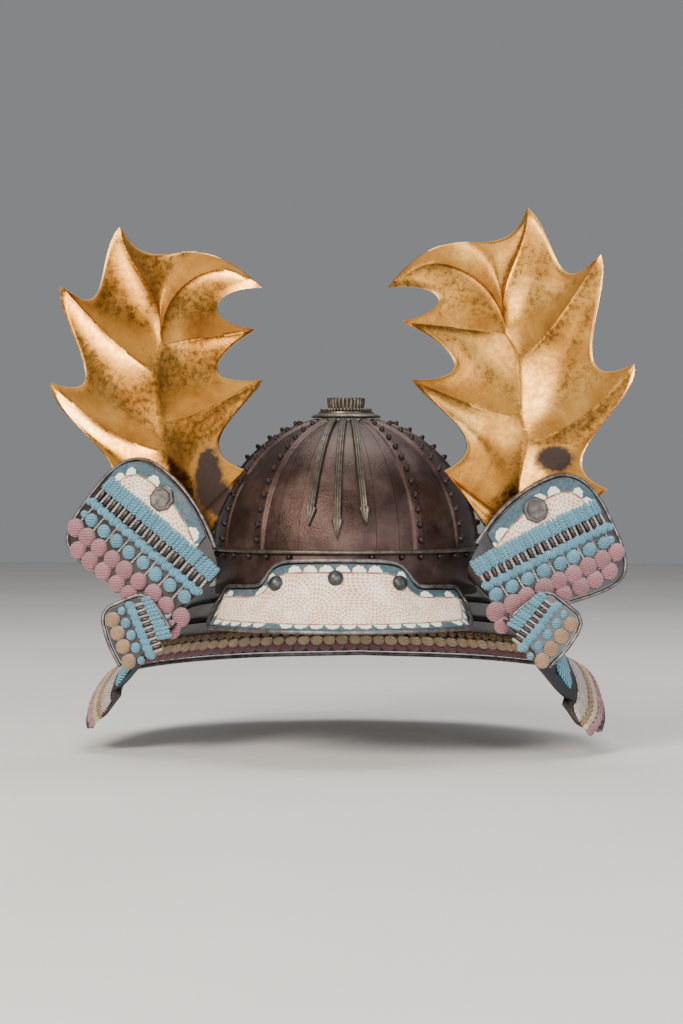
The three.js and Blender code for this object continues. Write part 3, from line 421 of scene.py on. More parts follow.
def rib_shape(bottom_x, top_x, end_rise):
    """A grooved rib down the front of the dome, x falling in a straight line, ending in a spear.

    The section is a flat bar with two rounded ridges; the spear widens it and draws it to a point.
    """
    start = math.radians(74)
    end = math.radians(end_rise)
    down = np.concatenate([np.linspace(0, 0.86, 40), np.linspace(0.865, 1.0, 28)])
    rise = start + (end - start) * down
    turn = np.arcsin((top_x + (bottom_x - top_x) * down) / (BOWL["half_width"] * np.cos(rise)))
    spear = np.clip((down - 0.87) / 0.13, 0, 1)
    half = 2.75 * np.where(spear > 0, np.minimum(1.0 + 6 * spear, 1.75 * (1 - spear)), 1.0) + 0.15
    s = np.linspace(-1, 1, 33)
    crest = 3.6 * (0.8 + 0.2 * np.abs(np.cos(1.5 * np.pi * s))) * (1 - s**8) ** 0.5
    flattened = np.where(spear > 0, 1 - 0.45 * spear, 1)
    lift = 0.9 + (crest[None] - 0.9 * (1 - s**8)[None] ** 0.5) * flattened[:, None]
    where = turn[:, None] + turn_of(half[:, None] * s[None], turn[:, None], rise[:, None])
    outer = dome(where, rise[:, None], lift)
    inner = dome(where, rise[:, None], 0.75)
    return shell(outer, inner)


def build_ribs(bronze):
    for name, bottom_x, top_x, end in (("left", -22, -8, 11), ("middle", 0, 0, 5.5), ("right", 22, 8, 11)):
        piece(f"spear_rib_{name}", rib_shape(bottom_x, top_x, end), bronze, [f"rib_{name}"])


# ------------------------------------------------------------------ visor
VISOR_TOP = ((0, 27.6), (18, 26.8), (24, 25), (28, 21), (31.5, 12.5), (34.5, 7.6), (41, 6.3), (50, 5.6),
             (56, 4.2),
             (60, -2))
VISOR_ANGLE, VISOR_WALL = 60.0, 1.8
# From the edge to the stitched line, and the radius of the border's fans, in mm.
BORDER = dict(visor=(6.6, 5.2), panel=(12.0, 6.4))


def visor_point(turn, down):
    """The visor's outer face: a quadratic curve from its upper to its lower edge, at each turn."""
    turn, down = np.broadcast_arrays(turn, down)
    angle = np.abs(np.degrees(turn))
    z = smooth(VISOR_TOP, 0, 1, angle)
    top = np.stack([110 * np.sin(turn), -125 * np.cos(turn), z], -1)
    bottom = np.stack([118 * np.sin(turn), -34 - 126 * np.cos(turn), np.full_like(z, -21.0)], -1)
    bend = np.stack([1.02 * top[..., 0], 1.02 * top[..., 1], np.minimum(-2, z - 6)], -1)
    d = down[..., None]
    return (1 - d) ** 2 * top + 2 * d * (1 - d) * bend + d * d * bottom


def border_chart(points, outline, line, fan):
    """How far along an outline the nearest place is, how far in from the line, and the fans' size."""
    gap = np.linalg.norm(points[..., None, :] - outline, axis=-1)
    reach = np.append(0, np.cumsum(np.linalg.norm(np.diff(outline, axis=0), axis=-1)))
    return np.stack([reach[gap.argmin(-1)], gap.min(-1) - line, np.full(gap.shape[:-1], fan)], -1)


def build_visor(leather, iron, stud_iron):
    """The leather-covered peak, its rolled iron rim and three round studs."""
    limit = math.radians(VISOR_ANGLE)
    turn, down = np.meshgrid(np.linspace(-limit, limit, 181), np.linspace(0, 1, 25), indexing="ij")
    grid = visor_point(turn, down)
    normals = grid_normals(grid)
    outward = math.copysign(1.0, -normals[90, 12, 1])
    inner = grid - normals * outward * VISOR_WALL
    along = np.append(0, np.cumsum(np.linalg.norm(np.diff(grid[:, 12], axis=0), axis=-1)))
    across = np.concatenate([np.zeros((181, 1)),
                             np.cumsum(np.linalg.norm(np.diff(grid, axis=1), axis=-1), 1)], 1)
    field = np.stack([np.broadcast_to(along[:, None], across.shape), -across, 0 * across], -1)
    outline = np.concatenate([grid[:, 0], grid[-1], grid[::-1, -1], grid[0, ::-1]])
    chart = border_chart(grid, outline, *BORDER["visor"])
    both = [np.concatenate([m.reshape(-1, 3)] * 2) for m in (field, chart)]
    piece("visor_leather_covered", shell(grid, inner), leather, ["visor"],
          dict(field=both[0], border=both[1]))
    stand = EDGE_RADIUS + 0.6
    fine = np.radians(np.linspace(-58.5, 58.5, 150))
    upper = visor_point(fine, 0.0) + [0, 0, stand + 0.5]
    outward = unit(np.stack([np.sin(fine), -np.cos(fine), fine * 0 - 0.8], -1))
    lower = visor_point(fine, 1.0) + outward * (stand + 1.0)
    part = np.linspace(0, 1, 14)
    round_off = 0.5 + 3.0 * (2 * part - 1) ** 6
    end = visor_point(limit, part) + np.stack([stand + 0.9 - 0.5 * round_off, part * 1.5, 0 * part], -1)
    start = end * [-1, 1, 1]
    path = np.concatenate([upper, end, lower[::-1], start[::-1]])
    path = soften(path, 3)
    piece("visor_rim", sweep(path, circle(1.6, 12), np.array([0.0, -0.3, 1.0]), closed=True), iron,
          ["visor_rim"])
    for name, angle, low in (("left", -25.5, 0.24), ("middle", -0.5, 0.19), ("right", 25.5, 0.23)):
        here, there = (visor_point(math.radians(angle), low + k) for k in (0, 0.02))
        out = unit(np.cross(there - here, visor_point(math.radians(angle + 1), low) - here))
        side = unit(np.cross([0.0, 0, 1], out))
        axes = np.stack([side * 6.2, np.cross(out, side) * 6.2, out * 5.0])[None]
        knob = copies(*pillow(25, 25, 0.55), (here + out * 0.6)[None], axes)
        piece(f"visor_stud_{name}", knob, stud_iron, [f"stud_{name}"])


def soften(path, times, closed=True):
    """A path with each point moved to the mean of itself and its two neighbours, several times."""
    for _ in range(times):
        mean = (np.roll(path, 1, 0) + 2 * path + np.roll(path, -1, 0)) / 4
        path = mean if closed else np.concatenate([path[:1], mean[1:-1], path[-1:]])
    return path


# ------------------------------------------------------------------ leaf crests
LEAF_TIPS = dict(inner3=(-56.9, 64.7), inner2=(-82.6, 136.8), inner1=(-90.7, 182.9), hook=(-102.1, 209.6),
                 top=(12.5, 274.3), outer1=(72.6, 237.8), outer2=(100.2, 149.6), outer3=(77.5, 49.4),
                 stem_inner=(-13.0, 0.0), stem_outer=(9.0, 0.0))
# Midrib nodes from the foot up: across, up, cells to the next node.
LEAF_RIB = ((-2, 0, 2), (0, 24, 1), (3, 42, 4), (9, 86, 2), (8, 109, 3), (3.5, 151, 2), (-4.5, 174, 4),
            (-6.2, 182, 0))
LEAF_ROOTS = dict(stem_inner=0, stem_outer=0, inner3=1, outer3=2, outer2=3, inner2=4, outer1=5, inner1=6,
                  hook=7, top=7)
LEAF_VEINS = dict(stem_inner=((-6, 0), (-10, 0)), inner3=((-18, 36), (-38, 50)),
                  inner2=((-25, 110), (-54, 126)), inner1=((-34, 178), (-62, 180)),
                  hook=((-19, 223), (-67, 250)), top=((-19, 215), (15, 240)),
                  outer1=((34, 175), (52, 207)), outer2=((48, 95), (77, 121)), outer3=((24, 34), (52, 38)),
                  stem_outer=((1, 0), (4, 0)))
LEAF_EDGES = (("stem_inner", "inner3", (-22, 18), (-40, 44)), ("inner3", "inner2", (-9, 88), (-71, 115)),
              ("inner2", "inner1", (-19, 137), (-60, 170)), ("inner1", "hook", (-40, 196), (-63, 215)),
              ("hook", "top", (-51, 277), (-11, 218)), ("top", "outer1", (37, 252), (30, 194)),
              ("outer1", "outer2", (83, 210), (32, 120)), ("outer2", "outer3", (105, 116), (15, 72)),
              ("outer3", "stem_outer", (48, 26), (26, 8)))
# The leaves are cut by hand: how far the left leaf's tips stand from the right leaf's.
LEAF_NUDGE = dict(right={}, left=dict(outer2=(-1, 3.5), outer1=(1.5, -4), top=(0, 2.5), hook=(1.5, 2.5),
                                      inner1=(2, -4.5), inner2=(-3.5, 0)))
LEAF_PLACE = dict(
    left=dict(foot=(-120.4, -47.6, 34), lean=4.9, turn=16.5, wide=0.993, tall=0.967, slant=0.105),
    right=dict(foot=(136.9, -45, 35), lean=-0.3, turn=13.9, wide=1.0, tall=1.0, slant=0.0))
LEAF_RELIEF, LEAF_FINE, LEAF_ROWS = 8.0, 6, 30


def bezier(handles, t):
    """Points of a cubic curve through four handles."""
    a, b, c, d = (np.array(h, float) for h in handles)
    t = np.asarray(t, float)[..., None]
    return (1 - t) ** 3 * a + 3 * t * (1 - t) ** 2 * b + 3 * t * t * (1 - t) * c + t**3 * d


def rib_line(place):
    """The midrib: cubic pieces through its nodes, the slope at each half its neighbours' difference."""
    nodes = np.array(LEAF_RIB, float)[:, :2]
    i = np.clip(np.floor(place).astype(int), 0, len(nodes) - 2)
    t = (place - i)[:, None]
    before, after = nodes[np.maximum(i - 1, 0)], nodes[np.minimum(i + 2, len(nodes) - 1)]
    a, b = nodes[i], nodes[i + 1]
    v, w = (b - before) / 2, (after - a) / 2
    return (2 * a - 2 * b + v + w) * t**3 + (3 * b - 3 * a - 2 * v - w) * t * t + v * t + a


def nudged(point, nudge, tip):
    """A flat point moved as far as a tip is nudged."""
    return np.array(point, float) + np.array(nudge.get(tip, (0, 0)), float)


def leaf_vein(name, nudge):
    across, up, _ = LEAF_RIB[LEAF_ROOTS[name]]
    low, high = LEAF_VEINS[name]
    return (across, up), low, nudged(high, nudge, name), nudged(LEAF_TIPS[name], nudge, name)


def leaf_sector(first, last, bend_a, bend_b, nudge):
    """The sheet between two veins: a patch between the midrib, the veins and the leaf's edge.

    Point = (1-s) vein A(t) + s vein B(t) + (1-t) rib(s) + t edge(s) - the corners' bilinear mix.
    It swells between its veins by (4 s (1-s))^0.8, and its outer lip is turned up a little.
    """
    low, high = LEAF_ROOTS[first], LEAF_ROOTS[last]
    if low == high:
        places = np.full(5 * LEAF_FINE + 1, float(low) - 1e-9)
    else:
        start, stop = min(low, high), max(low, high)
        counts = [LEAF_RIB[k][2] * LEAF_FINE for k in range(start, stop)]
        steps = [k + np.arange(count) / count for k, count in zip(range(start, stop), counts)]
        places = np.append(np.concatenate(steps), stop)
        places = places if low < high else places[::-1]
    rib = rib_line(np.minimum(places, len(LEAF_RIB) - 1))[:, None]
    s, t = np.meshgrid(np.linspace(0, 1, len(rib)), np.linspace(0, 1, LEAF_ROWS), indexing="ij")
    s, t = s[..., None], t[..., None]
    vein_a, vein_b = bezier(leaf_vein(first, nudge), t[..., 0]), bezier(leaf_vein(last, nudge), t[..., 0])
    tip_a, tip_b = nudged(LEAF_TIPS[first], nudge, first), nudged(LEAF_TIPS[last], nudge, last)
    edge = bezier((tip_a, nudged(bend_a, nudge, first), nudged(bend_b, nudge, last), tip_b), s[..., 0])
    corners = (1 - s) * (1 - t) * rib[:1] + s * (1 - t) * rib[-1:] + (1 - s) * t * tip_a + s * t * tip_b
    flat = (1 - s) * vein_a + s * vein_b + (1 - t) * rib + t * edge - corners
    s, t = s[..., 0], t[..., 0]
    span = np.linalg.norm(tip_a - tip_b)
    swell = LEAF_RELIEF * min(1, span / 55) * (4 * s * (1 - s)) ** 0.8 * (1 - (1 - t) ** 3) * (1 - 0.45 * t)
    to_edge = np.linalg.norm(edge - flat, axis=-1)
    to_vein = np.minimum(np.linalg.norm(vein_a - flat, axis=-1), np.linalg.norm(vein_b - flat, axis=-1))
    lip = 0.9 * np.exp(-to_edge / 1.6)
    return np.stack([flat[..., 0], swell + lip, flat[..., 1], to_edge, to_vein], -1)


def leaf_sheet(nudge):
    """All sectors joined at their shared edges, thickened straight back, with its border closed."""
    points, quads, start = [], [], 0
    for edge in LEAF_EDGES:
        grid = leaf_sector(*edge, nudge)
        points.append(grid.reshape(-1, 5))
        quads.append(grid_quads(*grid.shape[:2]) + start)
        start += grid.shape[0] * grid.shape[1]
    points, quads = np.concatenate(points), np.concatenate(quads)
    _, first, ids = np.unique(np.round(points[:, [0, 2]], 2), axis=0, return_index=True, return_inverse=True)
    points, quads = points[first], ids.reshape(-1)[quads]
    whole = (quads != np.roll(quads, -1, 1)).all(1)
    pinched = quads[~whole]
    keep = pinched != np.roll(pinched, -1, 1)
    pinched = pinched[keep.sum(1) == 3][keep[keep.sum(1) == 3]].reshape(-1, 3)
    quads = quads[whole]
    pairs = np.concatenate([np.stack([f, np.roll(f, -1, 1)], -1).reshape(-1, 2) for f in (quads, pinched)])
    count = len(points)
    forward, back = pairs[:, 0] * count + pairs[:, 1], pairs[:, 1] * count + pairs[:, 0]
    a, b = pairs[~np.isin(forward, back)].T
    border = np.stack([b, a, a + count, b + count], -1)
    rear = points + np.array([0, -LEAF_WALL, 0, 0, 0])
    faces = np.concatenate([quads, quads[:, ::-1] + count, border])
    caps = pinched.tolist() + (pinched[:, ::-1] + count).tolist()
    return np.concatenate([points, rear]), faces, caps


def turned_about(points, axis, degrees):
    """Points turned about the x, y or z axis."""
    c, s = math.cos(math.radians(degrees)), math.sin(math.radians(degrees))
    i, j = [(1, 2), (2, 0), (0, 1)][axis]
    out = points.copy()
    out[:, i], out[:, j] = c * points[:, i] - s * points[:, j], s * points[:, i] + c * points[:, j]
    return out


def build_leaves(gilt, iron):
    """Two leaves: the sheet is set upright, leaned outward, and turned back at its outer side."""
    for side, sign in SIDES.items():
        sheet, faces, caps = leaf_sheet(LEAF_NUDGE[side])
        maps = dict(leaf=np.stack([sheet[:, 3], sheet[:, 4], 0 * sheet[:, 3]], -1))
        place = LEAF_PLACE[side]
        upright = sheet[:, :3] * [place["wide"], -1, place["tall"]]
        upright[:, 0] += sheet[:, 2] * place["slant"]
        leaned = turned_about(upright, 1, place["lean"])
        placed = turned_about(leaned, 2, place["turn"]) * [sign, 1, 1] + place["foot"]
        piece(f"gilt_leaf_{side}", (placed, faces, caps), gilt, [f"leaf_{side}"], maps)
        level = np.array([8.0, 24.0, 48.0])
        x = np.interp(level, [24, 48], [111, 118])
        path = np.stack([sign * (x + 1.25), np.full(3, -24.0), level], -1)
        bar = sweep(path, np.array([[1.25, 0], [0.9, 6], [-0.9, 6], [-1.25, 0], [-0.9, -6], [0.9, -6]]),
                    np.array([0.0, 1.0, 0.0]))
        piece(f"leaf_prong_{side}", bar, iron, [f"prong_{side}"])


# ------------------------------------------------------------------ neck guard
# Sections from the middle of the back (0) to the front edge (1): top, middle and rim points.
GUARD = ((0, 0, 127, 5, 0, 177, -32, 0, 225, -65), (0.2, 56, 110, 5, 79.5, 153, -32, 104, 195, -66),
         (0.4, 97, 64, 5, 138, 89, -33, 180, 112, -68.5), (0.5, 108, 33, 5, 153.6, 46, -35, 200, 58, -75),
         (0.6, 112, 0, 5, 159, 0, -39, 207, 0, -90), (0.8, 109.5, -44, 9, 162, -42, -48, 204.5, -42, -105),
         (1, 99, -84, 18, 160, -82, -58, 192, -77, -113))
LAME_REACH = {2: 11.0}
LAME_PROUD, LAME_TUCK, LAMES = 1.8, 0.045, 4
TIP_END = dict(left=0.93, right=1.0)
PANELS = dict(
    upper=dict(lame=1, drop=0.0, length=130.0, skew=-5.0, sweep=22.0, bow=6.0,
               left=dict(tilt=36.7, start=2.0, shift=(0, 1.5)),
               right=dict(tilt=24.7, start=8.0, shift=(0, 3.5)),
               outline=((0, 6, -47), (0.13, 16.3, -51), (0.3, 27, -52.3), (0.48, 33.5, -56.2),
                        (0.66, 35.8, -59), (0.79, 34.5, -59.7), (0.88, 29.5, -57.7), (0.95, 19.5, -52.5),
                        (0.985, 7, -42), (1, -5, -33))),
    small=dict(lame=2, drop=0.25, length=40.0, skew=13.0, sweep=8.0, bow=0.0,
               left=dict(tilt=67.0, start=4.0, shift=(-9, -5)),
               right=dict(tilt=51.0, start=4.0, shift=(0, 0)),
               outline=((0, 2, -41), (0.4, 0, -43.3), (0.75, -3, -42.3), (0.93, -6.5, -39.5), (1, -12, -34))))


def guard_point(sign, at, drop):
    """The guard's middle surface: a quadratic in the drop through the top, middle and rim points."""
    at, drop = np.broadcast_arrays(np.asarray(at, float), np.asarray(drop, float))
    weights = (2 * (drop - 0.5) * (drop - 1), 4 * drop * (1 - drop), 2 * drop * (drop - 0.5))

    def blended(axis):
        return sum(w * smooth(GUARD, 0, 1 + 3 * k + axis, at) for k, w in enumerate(weights))

    x, y, z = (blended(axis) for axis in range(3))
    return np.stack([sign * x, y, z], -1)


def panel_axes(panel, side):
    """A panel's directions: out along its rows, up across them, and off its front face."""
    sign, tilt, sweep_back = SIDES[side], math.radians(panel[side]["tilt"]), math.radians(panel["sweep"])
    out = np.array([sign * math.cos(sweep_back) * math.cos(tilt), math.sin(sweep_back),
                    math.cos(sweep_back) * math.sin(tilt)])
    up = np.array([-sign * math.sin(tilt), 0, math.cos(tilt)])
    front = unit(np.cross(out, up))
    return out, up, front if front[1] < 0 else -front


def panel_point(panel, side, u, v, lift=0.0):
    """A panel's middle surface: u along its rows, v across them, bowed forward by 4 k (1-k)."""
    out, up, front = panel_axes(panel, side)
    origin = guard_point(SIDES[side], 1.0, panel["drop"]) - [0, LAME_REACH.get(panel["lame"], 0.0), 0]
    u, v, lift = (np.asarray(k, float)[..., None] for k in np.broadcast_arrays(u, v, lift))
    part = u / panel["length"]
    outward, raised = panel[side]["shift"]
    bulge = lift + panel["bow"] * 4 * part * (1 - part)
    return origin + out * (u + outward) + up * (v + raised) + front * bulge


def panel_edges(panel, along):
    return smooth(panel["outline"], 0, 1, along), smooth(panel["outline"], 0, 2, along)


def panel_u(panel, side, along, part):
    """How far out a place is: the fold side is cut at a slant, from start to start - skew."""
    start = panel[side]["start"] - panel["skew"] * part
    return start + (panel["length"] - start) * along


def panel_grid(panel, side, along, part, lift=0.0):
    along, part = np.meshgrid(along, part, indexing="ij")
    top, bottom = panel_edges(panel, along)
    return panel_point(panel, side, panel_u(panel, side, along, part), top + (bottom - top) * part, lift)


def eased(count):
    """Places from 0 to 1, closer together towards 1."""
    return 1 - (1 - np.linspace(0, 1, count)) ** 1.6


def lame_columns(number, side, rows):
    """One side of a lame, from the middle of the back to its free end: guard, fold and panel."""
    sign = SIDES[side]
    drops = np.linspace((number - 1) / LAMES - (LAME_TUCK if number > 1 else 0), number / LAMES, rows)
    name = {1: "upper", 2: "small"}.get(number)
    if name is None:
        at = np.append(np.linspace(0, 0.9, 64), np.linspace(0.9, 1, 16)[1:])
        part = np.linspace(0, 1, rows)[None]
        cut = (0.2 if number == LAMES else 0.1) * np.maximum(0, part - 0.4) ** 2 * 2.2
        beyond = np.maximum(0, at[:, None] - 0.8) / 0.2
        return guard_point(sign, np.minimum(at, 0.8)[:, None] + beyond * (TIP_END[side] - cut - 0.8),
                           drops[None]), 0
    reach = np.array([0, -LAME_REACH.get(number, 0.0), 0])
    at = np.linspace(0, 0.9, 64)
    edge = guard_point(sign, 1.0, drops) + reach
    main = guard_point(sign, at[:, None], drops[None]) + reach * np.maximum(0,
                                                                            (at - 0.8) / 0.2)[:, None, None]
    panel = PANELS[name]
    columns = panel_grid(panel, side, 0.02 + 0.98 * eased(48), np.linspace(0, 1, rows))
    t = np.linspace(0, 1, 18)[1:-1, None, None]
    fold = (1 - t) ** 2 * main[-1] + 2 * t * (1 - t) * edge + t * t * columns[0]
    return np.concatenate([main, fold, columns]), 16 + 48


def lame_lift(part):
    """Each lame stands in at its top and out at its foot, to clear the next one."""
    return LAME_PROUD * (2 * part - 1)


def build_lames(lacquer):
    for number in range(1, LAMES + 1):
        rows = 14
        (left, panel_cells), (right, _) = (lame_columns(number, side, rows) for side in SIDES)
        grid = np.concatenate([left[:0:-1], right])
        normals = grid_normals(grid)
        middle = len(left) - 1
        outward = math.copysign(1.0, normals[middle, 0, 2])
        from_fold = np.minimum(np.arange(len(grid)), np.arange(len(grid))[::-1]) - panel_cells + 16
        main = np.clip((from_fold + 4) / 4, 0, 1) if panel_cells else np.ones(len(grid))
        level = outward * lame_lift(np.linspace(0, 1, rows))[None] * main[:, None]
        half = outward * LAME_WALL / 2
        shape = shell(grid + normals * (level + half)[..., None], grid + normals * (level - half)[..., None])
        piece(f"guard_lame_{number}", shape, lacquer, [f"lame_{number}"])


# ------------------------------------------------------------------ edge bindings
def panel_rim(name, side):
    """A round binding just outside a panel's outline, from the fold round its free end and back."""
    panel = PANELS[name]
    along = np.concatenate([[0.09], 0.12 + 0.88 * eased(60)])
    top, bottom = panel_edges(panel, along)
    flat = np.concatenate([np.stack([panel_u(panel, side, along, 0.0), top], -1),
                           np.stack([panel_u(panel, side, along, 1.0), bottom], -1)[::-1]])
    flat = soften(flat, 3, closed=False)
    tangent = unit(np.gradient(flat, axis=0))
    flat = flat + np.stack([-tangent[:, 1], tangent[:, 0]], -1) * (EDGE_RADIUS + 0.5)
    path = panel_point(panel, side, flat[:, 0], flat[:, 1])
    return sweep(path, circle(1.6, 10, 1.2), panel_axes(panel, side)[2] + [0.013, 0.017, 0.011])


def build_edges(iron):
    for side in SIDES:
        for name in PANELS:
            piece(f"rim_{name}_{side}", panel_rim(name, side), iron, [f"edge_{name}_{side}"])
    ends = []
    for side in ("left", "right"):
        columns, _ = lame_columns(LAMES, side, 14)
        down = unit(columns[:, -1] - columns[:, -3])
        ends.append(columns[:, -1] + down * (EDGE_RADIUS + 1.4))
    path = np.concatenate([ends[0][:0:-1], ends[1]])
    piece("rim_guard", sweep(path, circle(2.0, 10), np.array([0.0, 0.0, 1.0])), iron,
          ["edge_guard"])


# ------------------------------------------------------------------ lacing
FACE = LAME_WALL / 2 + 0.6  # the front of a panel's lacquer


def strewn(name, shape, origins, axes, material, slot, replaces=(), seed=0):
    """Copies of a shape as one piece; `thread` holds each point's place on its copy and a number."""
    points, faces = shape
    sizes = np.linalg.norm(axes, axis=-1)
    number = np.random.default_rng(seed).random(len(origins))
    local = points[None, :, :2] * sizes[:, None, :2]
    thread = np.concatenate([local, np.broadcast_to(number[:, None, None], local.shape[:2] + (1,))], -1)
    return piece(name, copies(points, faces, origins, axes), material, replaces,
                 dict(thread=thread.reshape(-1, 3)))


def panel_spots(panel, side, u, v, half, lean=0.0, lift=0.0, jitter=0.0, seed=0):
    """Places and directions on a panel for knots and cords, their sizes and lean (degrees) given."""
    u, v, lean = np.broadcast_arrays(np.asarray(u, float), np.asarray(v, float), np.asarray(lean, float))
    change = np.random.default_rng(seed).normal(0, 1, (4, len(u)))
    out, up, front = panel_axes(panel, side)
    origin = panel_point(panel, side, u + change[0] * jitter, v + change[1] * jitter * 0.6, FACE + lift)
    angle = np.radians(lean + change[2] * jitter * 8)[:, None]
    size = (1 + change[3] * jitter * 0.06)[:, None]
    wide, tall, high = (np.broadcast_to(np.asarray(h, float), len(u))[:, None] for h in half)
    x = (out * np.cos(angle) + up * np.sin(angle)) * wide * size
    y = (up * np.cos(angle) - out * np.sin(angle)) * tall * size
    return origin, np.stack([x, y, np.broadcast_to(front, x.shape) * high], 1)


def panel_leather(panel, side):
    """Leather over a panel's upper part, from the cord band to just inside the binding."""
    along = 0.17 + 0.80 * np.linspace(0, 1, 90)
    top, bottom = panel_edges(panel, along)
    part = np.linspace(0, 1, 22)
    low = np.minimum(4.0, top - 3.0)
    v = (top - 1.0)[:, None] + (low - top + 1.0)[:, None] * part
    u = panel_u(panel, side, along[:, None], (top[:, None] - v) / (top - bottom)[:, None])
    outer = panel_point(panel, side, u, v, FACE + 1.0)
    inner = panel_point(panel, side, u, v, FACE)
    fine = np.linspace(0.05, 0.995, 300)
    edge_v = panel_edges(panel, fine)[0]
    outline = panel_point(panel, side, panel_u(panel, side, fine, 0.0), edge_v, FACE + 1.0)
    field = np.stack([u, v, np.zeros_like(u)], -1)
    chart = border_chart(outer, outline, *BORDER["panel"])
    both = [np.concatenate([m.reshape(-1, 3)] * 2) for m in (field, chart)]
    return shell(outer, inner), dict(field=both[0], border=both[1])


def octagon_plate():
    """A flat octagon of half width 1 with a raised border and a shallow dished field, turned as rings."""
    radius = np.array([0.0, 0.3, 0.62, 0.7, 0.78, 0.9, 1.0, 1.03, 1.03])
    height = np.array([0.74, 0.74, 0.72, 0.72, 1.0, 1.0, 0.88, 0.7, 0.0])
    turn = np.linspace(0, 2 * np.pi, 64, endpoint=False)
    flatness = np.cos(np.pi / 8) / np.cos((turn + np.pi / 8) % (np.pi / 4) - np.pi / 8)
    outer = np.stack([radius * (flatness * np.cos(turn))[:, None],
                      radius * (flatness * np.sin(turn))[:, None],
                      np.broadcast_to(height, (64, 9))], -1)
    return shell(outer, outer * [1, 1, 0] + [0, 0, -0.1], True)


# How much further apart the rows of an upper panel are on one side, and how far out they begin, in mm.
ROW_SPREAD = dict(left=1.06, right=0.95)
ROW_START = dict(left=0.0, right=8.5)


def build_upper_rows(side, leather, silks, crest, black):
    """An upper panel's face: leather, crest, cord band, bars, rope row and three rows of knots."""
    panel, start, wide = PANELS["upper"], ROW_START[side], ROW_SPREAD[side]
    seed = 11 if side == "right" else 71
    shape, maps = panel_leather(panel, side)
    piece(f"panel_leather_{side}", shape, leather, [f"leather_{side}"], maps)
    spot = panel_spots(panel, side, [72.8], [19.5], (10.4, 10.4, 2.6), 0, 1.4)
    piece(f"octagon_crest_{side}", copies(*octagon_plate(), *spot), crest, [f"crest_{side}"])

    def row(name, shape, u, v, half, lean, silk, lift=0.0, jitter=0.25, slot="blue_silk", replaces=()):
        spots = panel_spots(panel, side, u, v * wide, half, lean, lift, jitter, seed + len(name))
        strewn(f"{name}_{side}", shape, *spots, silk, slot, replaces, seed)

    # The cord band: narrow upright cords side by side, shorter near the fold.
    u = np.linspace(start, 124.0, 36)
    sag = 3.5 * (1 - (u - start) / (124 - start)) ** 3
    cap = panel_edges(panel, np.clip((u - 2) / panel["length"], 0, 1))[0] - 1.5
    top = np.minimum(7.6 - sag, cap)
    low = -5.0 - sag
    row("cord_band", cord_loop(7, 11), u, (top + low) / 2, (2.0, (top - low) / 2 + 0.6, 3.0), 7,
        silks["blue"], replaces=[f"lace_upper_band_{side}"])

    # Dark bars with flat pale strips between them, down to the rope row: the pale strips are painted
    # highlights for the bars' glossy lacquered edges.
    u = np.linspace(start + 2, 125.0, 18)
    v = -9.6 - 3.0 * (1 - (u - start) / (125 - start)) ** 3
    row("bar_cords", cord_loop(5, 7, 0, 0), u, v, (1.15, 5.4, 1.3), 4, silks["pale"], slot="pink_silk")
    row("lacquer_bars", cord_loop(7, 7, 0, 0), (u[1:] + u[:-1]) / 2, v[1:], (2.1, 5.0, 2.2), 4, black,
        slot="lacquer")

    # The rope row: slanted plump ovals that overlap.
    u = np.linspace(start + 3.0, 126.0, 17)
    row("rope_row", pillow(17, 11, 0.5, 5, 0.14, 0.5), u, -18.0 - 2.0 * (1 - u / 126) ** 2, (5.5, 3.6, 4.0),
        -31, silks["blue"], 0.3)

    # Thin cords run down between the round knots, which stand half a step from the large ones.
    count = 9
    step = (123.5 - start) / (count - 1)
    u = start + step * np.arange(count)
    low = -41.0 - 1.5 * (1 - u / 125) ** 2
    row("thin_cords", cord_loop(5, 7, 0, 0), u[1:] - step * 0.06, np.full(count - 1, -29.5),
        (0.8, 9.0, 1.0), 6, silks["pale"], slot="pink_silk")
    size = np.where(np.arange(count) == count - 1, 0.6, 1.0)
    row("round_knots", pillow(15, 15, 0.5, 5, 0.12, 0.4), np.minimum(u + step * 0.47, 123.5),
        np.full(count, -28.8), (5.9 * size, 5.5 * size, 4.2), 20, silks["blue"], 0.2, 0.5)
    large = np.concatenate([u, u[:-1]])
    v = np.concatenate([low, low[:-1] - 11.9])
    size = np.where(v < -50, 0.93, 1.0)
    row("rose_knots", pillow(17, 17, 0.42, 7, 0.09, 0.5), large, v, (8.1 * size, 7.4 * size, 4.8), 25,
        silks["pink"], 0.2, 0.6, "pink_silk", [f"lace_upper_rows_{side}"])


